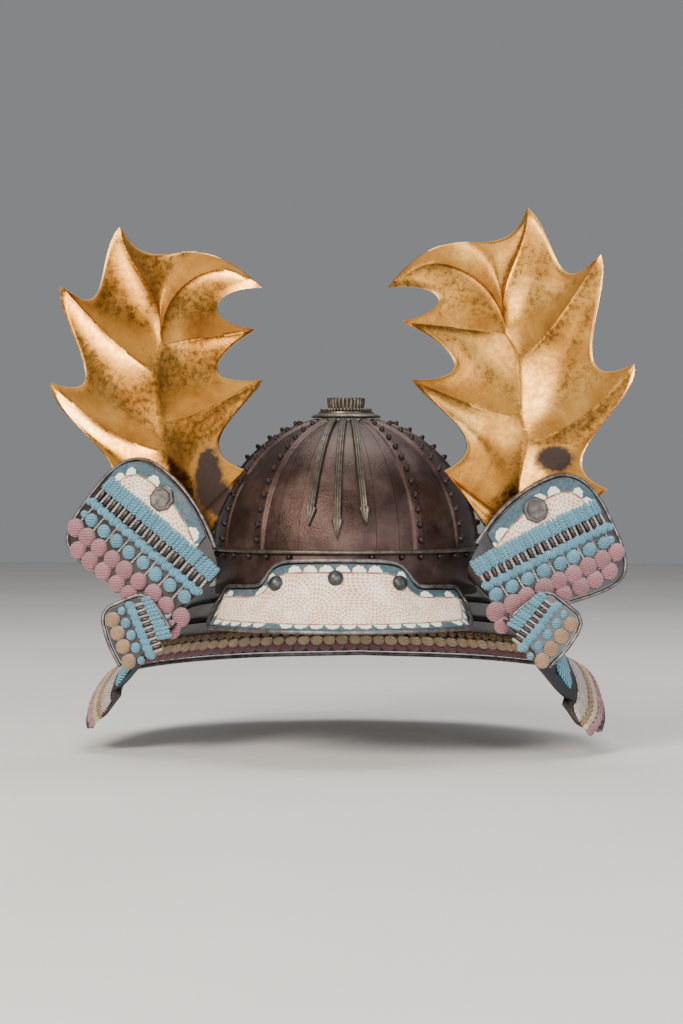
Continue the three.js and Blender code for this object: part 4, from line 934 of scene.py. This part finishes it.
def build_small_rows(side, silks, black):
    """A small panel's face: the same rows at a smaller scale, ending in ochre knots."""
    panel, seed = PANELS["small"], 31 if side == "right" else 91

    def row(name, shape, u, v, half, lean, silk, lift=0.0, jitter=0.25, slot="blue_silk", replaces=()):
        spots = panel_spots(panel, side, np.array(u, float), v, half, lean, lift, jitter, seed + len(name))
        strewn(f"small_{name}_{side}", shape, *spots, silk, slot, replaces, seed)

    u = np.linspace(3.0, 35.5, 11)
    row("cord_band", cord_loop(7, 11), u, -2.2 - 0.06 * u, (1.9, 6.4 - 0.07 * u, 2.8), 12, silks["blue"],
        replaces=[f"lace_small_band_{side}"])
    u = np.linspace(-5.0, 34.0, 9)
    # Pale strips between the dark bars: painted highlights for the bars' glossy lacquered edges.
    row("bar_cords", cord_loop(5, 7, 0, 0), u, -11.5, (1.25, 4.2, 1.3), 4, silks["pale"], slot="pink_silk")
    row("lacquer_bars", cord_loop(7, 7, 0, 0), (u[1:] + u[:-1]) / 2, -11.5, (1.8, 4.0, 2.0), 4, black,
        slot="lacquer")
    row("rope_row", pillow(15, 11, 0.5, 5, 0.14, 0.5), np.linspace(-6.0, 36.0, 9), -18.2, (4.6, 3.4, 3.8),
        -38, silks["blue"], 0.3)
    size = np.array([0.75, 1.0, 1.0, 1.0, 0.8])
    row("round_knots", pillow(13, 13, 0.5, 5, 0.12, 0.4), (-7.5, 3.0, 14.0, 25.0, 35.0), -26.6,
        (4.2 * size, 4.0 * size, 3.6), 10, silks["blue"], 0.2)
    row("ochre_knots", pillow(17, 17, 0.42, 7, 0.09, 0.5), (-4.5, 7.5, 19.5, 31.5), -35.8, (6.2, 6.0, 4.6),
        20, silks["tan"], 0.2, 0.35, "tan_silk", [f"lace_small_rows_{side}"])


def guard_row(drop, pitch, reach, half, inside, lift=0.0, lean=0.0, seed=0, jitter=0.15):
    """Evenly spaced places along the guard at one drop, on its inner or outer face.

    Arc length is summed along the row and cut into equal steps; reach holds the row's two ends.
    """
    at = np.linspace(-1, 1, 1201)
    line = guard_point(np.where(at < 0, -1.0, 1.0), np.abs(at), drop)
    keep = (at >= -reach[0]) & (at <= reach[1])
    at, line = at[keep], line[keep]
    run = np.append(0, np.cumsum(np.linalg.norm(np.diff(line, axis=0), axis=-1)))
    count = int(run[-1] / pitch)
    change = np.random.default_rng(seed).normal(0, 1, (3, count))
    spot = np.interp(np.linspace(pitch / 2, run[-1] - pitch / 2, count) + change[0] * jitter, run, at)
    sign = np.where(spot < 0, -1.0, 1.0)
    here = guard_point(sign, np.abs(spot), drop)
    ahead = unit(guard_point(sign, np.abs(spot) + 0.004, drop) - here) * sign[:, None]
    below = unit(guard_point(sign, np.abs(spot), drop + 0.02) - here)
    out = unit(np.cross(ahead, below))
    out = out * np.where(out[:, 2] < 0, -1.0, 1.0)[:, None]
    number = min(LAMES, int(drop * LAMES - 1e-6) + 1)
    first = (number - 1) / LAMES - (LAME_TUCK if number > 1 else 0)
    stand = lame_lift((drop - first) / (number / LAMES - first))
    face = -1.0 if inside else 1.0
    origin = here + out * (stand + face * (LAME_WALL / 2 + 0.4 + lift))
    angle = np.radians(lean + change[1] * jitter * 12)[:, None]
    x = ahead * np.cos(angle) - below * np.sin(angle)
    y = -below * np.cos(angle) - ahead * np.sin(angle)
    size = (1 + 0.3 * jitter * change[2])[:, None]
    return origin, np.stack([x * half[0] * size, y * half[1] * size, out * face * half[2]], 1)


def build_guard_lacing(silks):
    """Rows inside the lowest lame, and the lacing on the outer face of all four."""
    knot = pillow(13, 11, 0.5, 5, 0.12, 0.4)
    rows = (("golden", "golden", 0.685, 9.6, (0.82, 0.84), (4.4, 3.6, 3.2), []),
            ("peach", "peach", 0.765, 11.4, (0.84, 0.86), (5.5, 6.0, 4.4), ["lace_guard_inner"]),
            ("maroon", "maroon", 0.875, 11.6, (0.86, 0.9), (5.8, 7.6, 4.6), []))
    for k, (name, silk, drop, pitch, reach, half, replaces) in enumerate(rows):
        spots = guard_row(drop, pitch, reach, half, True, 0.0, 18, 200 + k)
        strewn(f"inner_row_{name}", knot, *spots, silks[silk], "tan_silk", replaces, 200 + k)
    for number in range(1, LAMES):
        low = number / LAMES
        spots = guard_row(low - 0.10, 4.1, (0.86, 0.86), (2.05, 8.6, 2.6), False, 0.0, 6, 300 + number, 0.2)
        strewn(f"outer_cords_{number}", cord_loop(5, 7, 3, 0.15), *spots, silks["blue"], "blue_silk",
               [f"lace_back_{number}"], 300 + number)
    rows = (("pale", "pale", 0.83, 4.4, (0.9, 0.965), (2.1, 6.6, 2.2), cord_loop(5, 7, 3, 0.15), []),
            ("golden", "golden", 0.885, 8.4, (0.91, 0.975), (4.2, 3.2, 3.0), knot, []),
            ("cream", "cream", 0.922, 8.4, (0.91, 0.975), (4.2, 3.4, 3.2), knot, ["lace_back_4"]),
            ("rose", "pink", 0.966, 10.4, (0.91, 0.97), (5.2, 3.6, 3.4), knot, []))
    for k, (name, silk, drop, pitch, reach, half, shape, replaces) in enumerate(rows):
        spots = guard_row(drop, pitch, reach, half, False, 0.0, 12, 400 + k)
        strewn(f"outer_row_{name}", shape, *spots, silks[silk], "blue_silk", replaces, 400 + k)


# ------------------------------------------------------------------ finishes
def blotch(f, centre, radii, ragged):
    """1 inside an ellipsoid about a place in mm, 0 outside it, its border broken up by noise."""
    place = f.node("TexCoord", out="Object")
    rough = f.node("TexNoise", dict(Vector=place, Scale=260.0, Detail=6.0), out="Color")
    moved = f.node("MixRGB", dict(Fac=ragged, Color1=(0, 0, 0, 1), Color2=rough))
    shifted = f.node("VectorMath", [place, [c * MM for c in centre]], operation="SUBTRACT")
    scaled = f.node("VectorMath", [shifted, [1 / (r * MM) for r in radii]], operation="MULTIPLY")
    torn = f.node("VectorMath", [scaled, moved], operation="ADD")
    length = f.node("VectorMath", [torn], out="Value", operation="LENGTH")
    return f.node("MapRange",
                  {"Value": length, "From Min": 0.75 + ragged * 0.6, "From Max": 1.1 + ragged * 0.9,
                               "To Min": 1.0, "To Max": 0.0})


def russet_iron():
    """Forged iron, rusted brown under lacquer (tetsusabiji): pitted, with greyer worn places."""
    f = Finish("Forged iron with a lacquered russet patina")
    place = f.node("TexCoord", out="Object")
    cloud = f.node("TexNoise", dict(Vector=place, Scale=38.0, Detail=8.0, Roughness=0.62))
    pits = f.node("TexNoise", dict(Vector=place, Scale=620.0, Detail=4.0, Roughness=0.6))
    colour = f.ramp(cloud, ((0.3, "#35241F"), (0.5, "#4C3832"), (0.68, "#65514A"), (0.82, "#7E6C63")))
    colour = f.node("MixRGB", [0.35, colour, f.ramp(pits, ((0.35, "#2C1E1C"), (0.65, "#6E5A55")))],
                    blend_type="OVERLAY")
    rivet = f.node("Attribute", out="Fac", attribute_name="rivet")
    colour = f.node("MixRGB", [rivet, colour, rgb("#2B201E")])
    rough = f.node("MapRange",
                   {"Value": cloud, "From Min": 0.3, "From Max": 0.7, "To Min": 0.3, "To Max": 0.5})
    bump = f.node("Bump", dict(Height=pits, Strength=0.6, Distance=0.0006))
    waves = f.node("TexNoise", dict(Vector=place, Scale=90.0, Detail=2.0))
    bump = f.node("Bump", dict(Height=waves, Strength=0.25, Distance=0.0009, Normal=bump))
    return f.set(Base_Color=colour, Roughness=rough, Metallic=0.72, Normal=bump)


def dark_iron(name, low, high, roughness, metallic=0.85):
    """Blackened iron with rubbed, slightly brighter places."""
    f = Finish(name)
    place = f.node("TexCoord", out="Object")
    wear = f.node("TexNoise", dict(Vector=place, Scale=170.0, Detail=6.0, Roughness=0.6))
    fine = f.node("TexNoise", dict(Vector=place, Scale=900.0, Detail=2.0))
    colour = f.ramp(wear, ((0.35, low), (0.7, high)))
    rough = f.node("MapRange", {"Value": wear, "To Min": roughness + 0.12, "To Max": roughness - 0.1})
    bump = f.node("Bump", dict(Height=fine, Strength=0.2, Distance=0.0003))
    return f.set(Base_Color=colour, Roughness=rough, Metallic=metallic, Normal=bump)


def gilt():
    """Leaf gilding on a beaten sheet: mottled brown where it is thin, with a painted highlight along its
    edges.
    """
    f = Finish("Gold leaf on beaten copper, rubbed and tarnished")
    place = f.node("TexCoord", out="Object")
    broad = f.node("TexNoise", dict(Vector=place, Scale=22.0, Detail=7.0, Roughness=0.6, Distortion=0.6))
    speck = f.node("TexNoise", dict(Vector=place, Scale=240.0, Detail=5.0, Roughness=0.65))
    colour = f.ramp(broad, ((0.26, "#875625"), (0.42, "#AC7431"), (0.58, "#C48C42"), (0.78, "#DFAE60")))
    tarnish = f.node("MapRange", {"Value": speck, "From Min": 0.6, "From Max": 0.8})
    spread = f.node("MapRange",
                    {"Value": broad, "From Min": 0.36, "From Max": 0.5, "To Min": 0.5, "To Max": 0.1})
    tarnish = f.node("Math", [tarnish, spread], operation="MULTIPLY")
    colour = f.node("MixRGB", [tarnish, colour, rgb("#5A3918")])
    stretch = f.node("Mapping", dict(Vector=place, Rotation=(0.4, 0.9, 0.3), Scale=(1.0, 1.0, 0.06)))
    lines = f.node("TexNoise", dict(Vector=stretch, Scale=520.0, Detail=3.0))
    scratch = f.node("MapRange", {"Value": lines, "From Min": 0.69, "From Max": 0.72})
    colour = f.node("MixRGB", [f.node("Math", [scratch, 0.5], operation="MULTIPLY"), colour, rgb("#5E3F1E")])
    # Painted highlight: pale gold along the leaf's outer edge, fading out within 1.5 mm of it.
    edge = f.node("SeparateXYZ", [f.node("Attribute", out="Vector", attribute_name="leaf")])
    glint = f.node("MapRange",
                   {"Value": edge, "From Min": 0.0, "From Max": 1.5, "To Min": 0.7, "To Max": 0.0})
    colour = f.node("MixRGB", [glint, colour, rgb("#E8C27A")])
    bare = None
    for centre, radii in (((-104, -55, 100), (8, 60, 19)), ((-95, -55, 82), (7, 60, 11)),
                          ((174, -35, 112), (10, 60, 7))):
        spot = blotch(f, centre, radii, 0.85)
        bare = spot if bare is None else f.node("Math", [bare, spot], operation="MAXIMUM")
    colour = f.node("MixRGB", [bare, colour, rgb("#2E1D12")])
    rough = f.node("MapRange",
                   {"Value": speck, "From Min": 0.35, "From Max": 0.7, "To Min": 0.2, "To Max": 0.4})
    rough = f.node("Math", [rough, f.node("Math", [bare, 0.35], operation="MULTIPLY")], operation="ADD")
    metallic = f.node("Math", [1.0, f.node("Math", [bare, 0.6], operation="MULTIPLY")], operation="SUBTRACT")
    bump = f.node("Bump", dict(Height=broad, Strength=0.3, Distance=0.0015))
    bump = f.node("Bump", dict(Height=speck, Strength=0.12, Distance=0.0003, Normal=bump))
    return f.set(Base_Color=colour, Roughness=rough, Metallic=metallic, Normal=bump)


def lacquer():
    """Black-brown urushi lacquer over iron scales, dulled and dusty."""
    f = Finish("Black-brown urushi lacquer over iron")
    place = f.node("TexCoord", out="Object")
    dust = f.node("TexNoise", dict(Vector=place, Scale=60.0, Detail=7.0, Roughness=0.65))
    colour = f.ramp(dust, ((0.4, "#120A0A"), (0.66, "#1D1312"), (0.85, "#3A302D")))
    rough = f.node("MapRange", {"Value": dust, "To Min": 0.3, "To Max": 0.55})
    bump = f.node("Bump", dict(Height=dust, Strength=0.15, Distance=0.0006))
    return f.set(Base_Color=colour, Roughness=rough, Metallic=0.0, Normal=bump, Coat_Weight=0.3,
                 Coat_Roughness=0.2)


def silk(name, code, shade, worn=0.12):
    """Plaited silk cord: diagonal threads across each cord, each cord dyed a little differently."""
    f = Finish(name)
    thread = f.node("Attribute", out="Vector", attribute_name="thread")
    x, y, number = f.node("SeparateXYZ", [thread]).node.outputs
    slant = f.node("Math", [y, 0.55], operation="MULTIPLY")
    phase = f.node("Math", [f.node("Math", [x, slant], operation="ADD"), 2 * math.pi / 1.5],
                   operation="MULTIPLY")
    wave = f.node("Math", [phase], operation="SINE")
    lit = f.node("MapRange", {"Value": wave, "From Min": -1.0, "From Max": 0.5, "To Min": 0.0, "To Max": 1.0})
    place = f.node("TexCoord", out="Object")
    fuzz = f.node("TexNoise", dict(Vector=place, Scale=700.0, Detail=4.0, Roughness=0.7))
    fade = f.node("TexNoise", dict(Vector=place, Scale=45.0, Detail=3.0))
    colour = f.node("MixRGB", [lit, rgb(shade), rgb(code)])
    varied = f.node("MapRange", {"Value": number, "To Min": 0.82, "To Max": 1.12})
    colour = f.node("HueSaturation", {"Color": colour, "Value": varied})
    pale = f.node("MapRange",
                  {"Value": fuzz, "From Min": 0.55, "From Max": 0.75, "To Min": 0.0, "To Max": worn * 3})
    pale = f.node("Math", [pale, fade], operation="MULTIPLY")
    colour = f.node("MixRGB", [pale, colour, rgb("#D9D2C4")])
    bump = f.node("Bump", dict(Height=wave, Strength=0.9, Distance=0.0006))
    bump = f.node("Bump", dict(Height=fuzz, Strength=0.35, Distance=0.0003, Normal=bump))
    return f.set(Base_Color=colour, Roughness=0.78, Metallic=0.0, Normal=bump, Sheen_Weight=0.35,
                 Sheen_Roughness=0.5)


def printed_leather():
    """Printed deer leather: rust leaf marks on cream, a stitched line, and a blue border with fans.

    The attribute `border` is (distance along the edge, distance in from the stitched line) in mm
    and `field` is a flat chart in mm. Marks stand in rings round scattered flower centres.
    """
    f = Finish("Smoked deer leather, stencil-printed")
    math_node = lambda operation, *values: f.node("Math", values, operation=operation)
    field = f.node("Attribute", out="Vector", attribute_name="field")
    flower = f.node("TexVoronoi", dict(Vector=field, Scale=1 / 27.0), out="Position")
    wobble = f.node("TexNoise", dict(Vector=field, Scale=0.12, Detail=2.0), out="Color")
    away = f.node("VectorMath", [f.node("VectorMath", [field, flower], operation="SUBTRACT"), wobble],
                  operation="ADD")
    x, y, _ = f.node("SeparateXYZ", [away]).node.outputs
    radius = math_node("SQRT", math_node("ADD", math_node("MULTIPLY", x, x), math_node("MULTIPLY", y, y)))
    ring = math_node("DIVIDE", radius, 3.9)
    step = math_node("FLOOR", ring)
    petals = math_node("ADD", math_node("MULTIPLY", step, 8.0), 5.0)
    turn = math_node("DIVIDE", math_node("ARCTAN2", y, x), 2 * math.pi)
    across = math_node("ABSOLUTE",
                       math_node("SUBTRACT", math_node("FRACT", math_node("MULTIPLY", turn, petals)), 0.5))
    along = math_node("ABSOLUTE", math_node("SUBTRACT", math_node("FRACT", ring), 0.5))
    leaf = math_node("ADD", math_node("MULTIPLY", along, 0.95), math_node("MULTIPLY", across, 1.15))
    hollow = math_node("ABSOLUTE", math_node("SUBTRACT", leaf, 0.27))
    mark = f.node("MapRange",
                  {"Value": hollow, "From Min": 0.09, "From Max": 0.17, "To Min": 1.0, "To Max": 0.0})
    rubbed = f.node("TexNoise", dict(Vector=field, Scale=0.055, Detail=4.0))
    strength = f.node("MapRange",
                      {"Value": rubbed, "From Min": 0.5, "From Max": 0.7, "To Min": 1.0, "To Max": 0.5})
    cream = f.ramp(rubbed, ((0.35, "#E8D3B8"), (0.65, "#F4E8D6")))
    colour = f.node("MixRGB", [math_node("MULTIPLY", mark, strength), cream, rgb("#B4683F")])

    border = f.node("Attribute", out="Vector", attribute_name="border")
    s, d, size = f.node("SeparateXYZ", [border]).node.outputs
    inward = math_node("LESS_THAN", d, 0.0)
    blue = f.ramp(f.node("TexNoise", dict(Vector=field, Scale=0.35, Detail=5.0)),
                  ((0.3, "#2C424C"), (0.7, "#44606A")))
    colour = f.node("MixRGB", [inward, colour, blue])
    pitch = math_node("MULTIPLY", size, 2.45)
    cell = math_node("DIVIDE", s, pitch)
    chance = f.node("TexWhiteNoise", dict(W=math_node("FLOOR", cell)), out="Value", noise_dimensions="1D")
    shift = math_node("MULTIPLY", math_node("SUBTRACT", math_node("FRACT", cell), 0.5), pitch)
    reach = math_node("SQRT",
                      math_node("ADD", math_node("MULTIPLY", shift, shift), math_node("MULTIPLY", d, d)))
    angle = math_node("ARCTAN2", d, shift)
    lobes = math_node("ABSOLUTE", math_node("SINE", math_node("MULTIPLY", angle, 4.5)))
    scallop = math_node("ADD", size, math_node("MULTIPLY", lobes, 0.7))
    fan = math_node("MULTIPLY", math_node("LESS_THAN", reach, scallop), math_node("LESS_THAN", chance, 0.74))
    fan = math_node("MULTIPLY", fan, inward)
    rib = math_node("LESS_THAN",
                    math_node("ABSOLUTE", math_node("SINE", math_node("MULTIPLY", angle, 9.0))), 0.2)
    rib = math_node("MULTIPLY", rib, math_node("GREATER_THAN", reach, 2.0))
    petal = f.node("MixRGB", [math_node("MULTIPLY", rib, 0.7), rgb("#EDE8D3"), rgb("#6F8A8C")])
    colour = f.node("MixRGB", [fan, colour, petal])
    line = math_node("LESS_THAN", math_node("ABSOLUTE", d), 0.75)
    dash = math_node("LESS_THAN", math_node("FRACT", math_node("DIVIDE", s, 19.0)), 0.5)
    thread = f.node("MixRGB", [dash, rgb("#8C9468"), rgb("#8C4A50")])
    colour = f.node("MixRGB", [line, colour, thread])
    place = f.node("TexCoord", out="Object")
    grain = f.node("TexVoronoi", dict(Vector=place, Scale=1400.0), out="Distance")
    soil = f.node("TexNoise", dict(Vector=place, Scale=70.0, Detail=8.0, Roughness=0.7))
    dirt = f.node("MapRange",
                  {"Value": soil, "From Min": 0.5, "From Max": 0.8, "To Min": 0.0, "To Max": 0.45})
    colour = f.node("MixRGB", [dirt, colour, rgb("#8F7A66")])
    bump = f.node("Bump", dict(Height=grain, Strength=0.25, Distance=0.0002))
    bump = f.node("Bump", dict(Height=soil, Strength=0.3, Distance=0.0006, Normal=bump))
    return f.set(Base_Color=colour, Roughness=0.72, Metallic=0.0, Normal=bump)


def stage_floor():
    """A pale matt backdrop paper, with a faint unevenness."""
    f = Finish("Pale grey backdrop paper")
    place = f.node("TexCoord", out="Object")
    cloud = f.node("TexNoise", dict(Vector=place, Scale=3.0, Detail=4.0))
    return f.set(Base_Color=f.ramp(cloud, ((0.3, "#CFCDC9"), (0.7, "#D8D6D2"))), Roughness=0.85)


# ------------------------------------------------------------------ the helmet
def build_helmet():
    iron = russet_iron()
    rim_iron = dark_iron("Blackened iron edging, rubbed grey", "#4E4A4A", "#8A8482", 0.42)
    stud_iron = dark_iron("Blackened iron studs", "#37393A", "#5A5D5C", 0.45)
    bronze = dark_iron("Dark patinated bronze", "#4A443B", "#6F675A", 0.42)
    crest = dark_iron("Blackened copper crest plate", "#4E4946", "#77706B", 0.5)
    silks = dict(blue=silk("Pale blue plaited silk", "#66B6CE", "#1F5468"),
                 pink=silk("Faded rose plaited silk", "#C07C84", "#6A2F38"),
                 tan=silk("Ochre plaited silk", "#BE9468", "#6E4B2C"),
                 peach=silk("Peach plaited silk", "#FBE3BC", "#D0A066"),
                 golden=silk("Golden brown plaited silk", "#A87C40", "#4E3418"),
                 maroon=silk("Dark plum plaited silk", "#B0666E", "#5A2A34"),
                 cream=silk("Cream plaited silk", "#D9C6A0", "#8A744C"),
                 # The pale cord also makes the strips between the lacquer bars, which are painted highlights.
                 pale=silk("Undyed hemp cord and painted highlight strips", "#CDBDB2", "#8A7770", 0.05))
    black = lacquer()
    leather = printed_leather()
    build_bowl(iron)
    build_waist_band(iron, bronze)
    build_crown(bronze)
    build_ribs(bronze)
    build_visor(leather, rim_iron, stud_iron)
    build_leaves(gilt(), stud_iron)
    build_lames(black)
    build_edges(rim_iron)
    for side in SIDES:
        build_upper_rows(side, leather, silks, crest, black)
        build_small_rows(side, silks, black)
    build_guard_lacing(silks)


def build_stage():
    """A flat floor below the helmet, four soft lamps, a dim grey room, and the camera."""
    grid_x, grid_y = np.meshgrid(np.linspace(-4000, 4000, 5), np.linspace(-3500, 4000, 5), indexing="ij")
    ground = np.stack([grid_x, grid_y, np.full_like(grid_x, -126.0)], -1)
    mesh = bpy.data.meshes.new("floor")
    mesh.from_pydata((ground.reshape(-1, 3) * MM).tolist(), [], grid_quads(5, 5).tolist())
    mesh.materials.append(stage_floor())
    floor = bpy.data.objects.new("floor", mesh)
    bpy.context.scene.collection.objects.link(floor)

    lamps = (("key", (-1.1, -1.9, 1.5), 0.9, 78, "#FFF4E6"), ("fill", (1.8, -1.5, 0.9), 1.2, 24, "#F6F8FF"),
             ("top", (0.1, 0.5, 1.9), 1.4, 34, "#FFFFFF"),
             ("front_low", (0.2, -2.4, 0.1), 1.2, 52, "#FFFFFF"))
    for name, place, size, power, code in lamps:
        light = bpy.data.lights.new(name, "AREA")
        light.shape, light.size, light.energy, light.color = "SQUARE", size, power, rgb(code)[:3]
        lamp = bpy.data.objects.new(name, light)
        lamp.location = place
        lamp.rotation_euler = (Vector((0, 0, 0.08)) - Vector(place)).to_track_quat("-Z", "Y").to_euler()
        bpy.context.scene.collection.objects.link(lamp)

    world = bpy.data.worlds.new("room")
    world.use_nodes = True
    back = world.node_tree.nodes["Background"]
    back.inputs["Color"].default_value = rgb("#C9CCD0")
    back.inputs["Strength"].default_value = 0.4
    bpy.context.scene.world = world

    # The view is 3.3 degrees to the helmet's left of straight ahead and 1 degree above level.
    azimuth, elevation, distance = math.radians(3.3), math.radians(1.0), 2100.0
    target = np.array([-3.7, 0.0, 65.6])
    away = np.array([math.sin(azimuth) * math.cos(elevation), -math.cos(azimuth) * math.cos(elevation),
                     math.sin(elevation)])
    lens = bpy.data.cameras.new("camera")
    lens.lens, lens.sensor_width, lens.clip_start, lens.clip_end = 90.0, 36.0, 0.05, 50.0
    camera = bpy.data.objects.new("camera", lens)
    camera.location = (target + away * distance) * MM
    camera.rotation_euler = Vector(-away).to_track_quat("-Z", "Y").to_euler()
    bpy.context.scene.collection.objects.link(camera)
    bpy.context.scene.camera = camera


build_helmet()
build_stage()
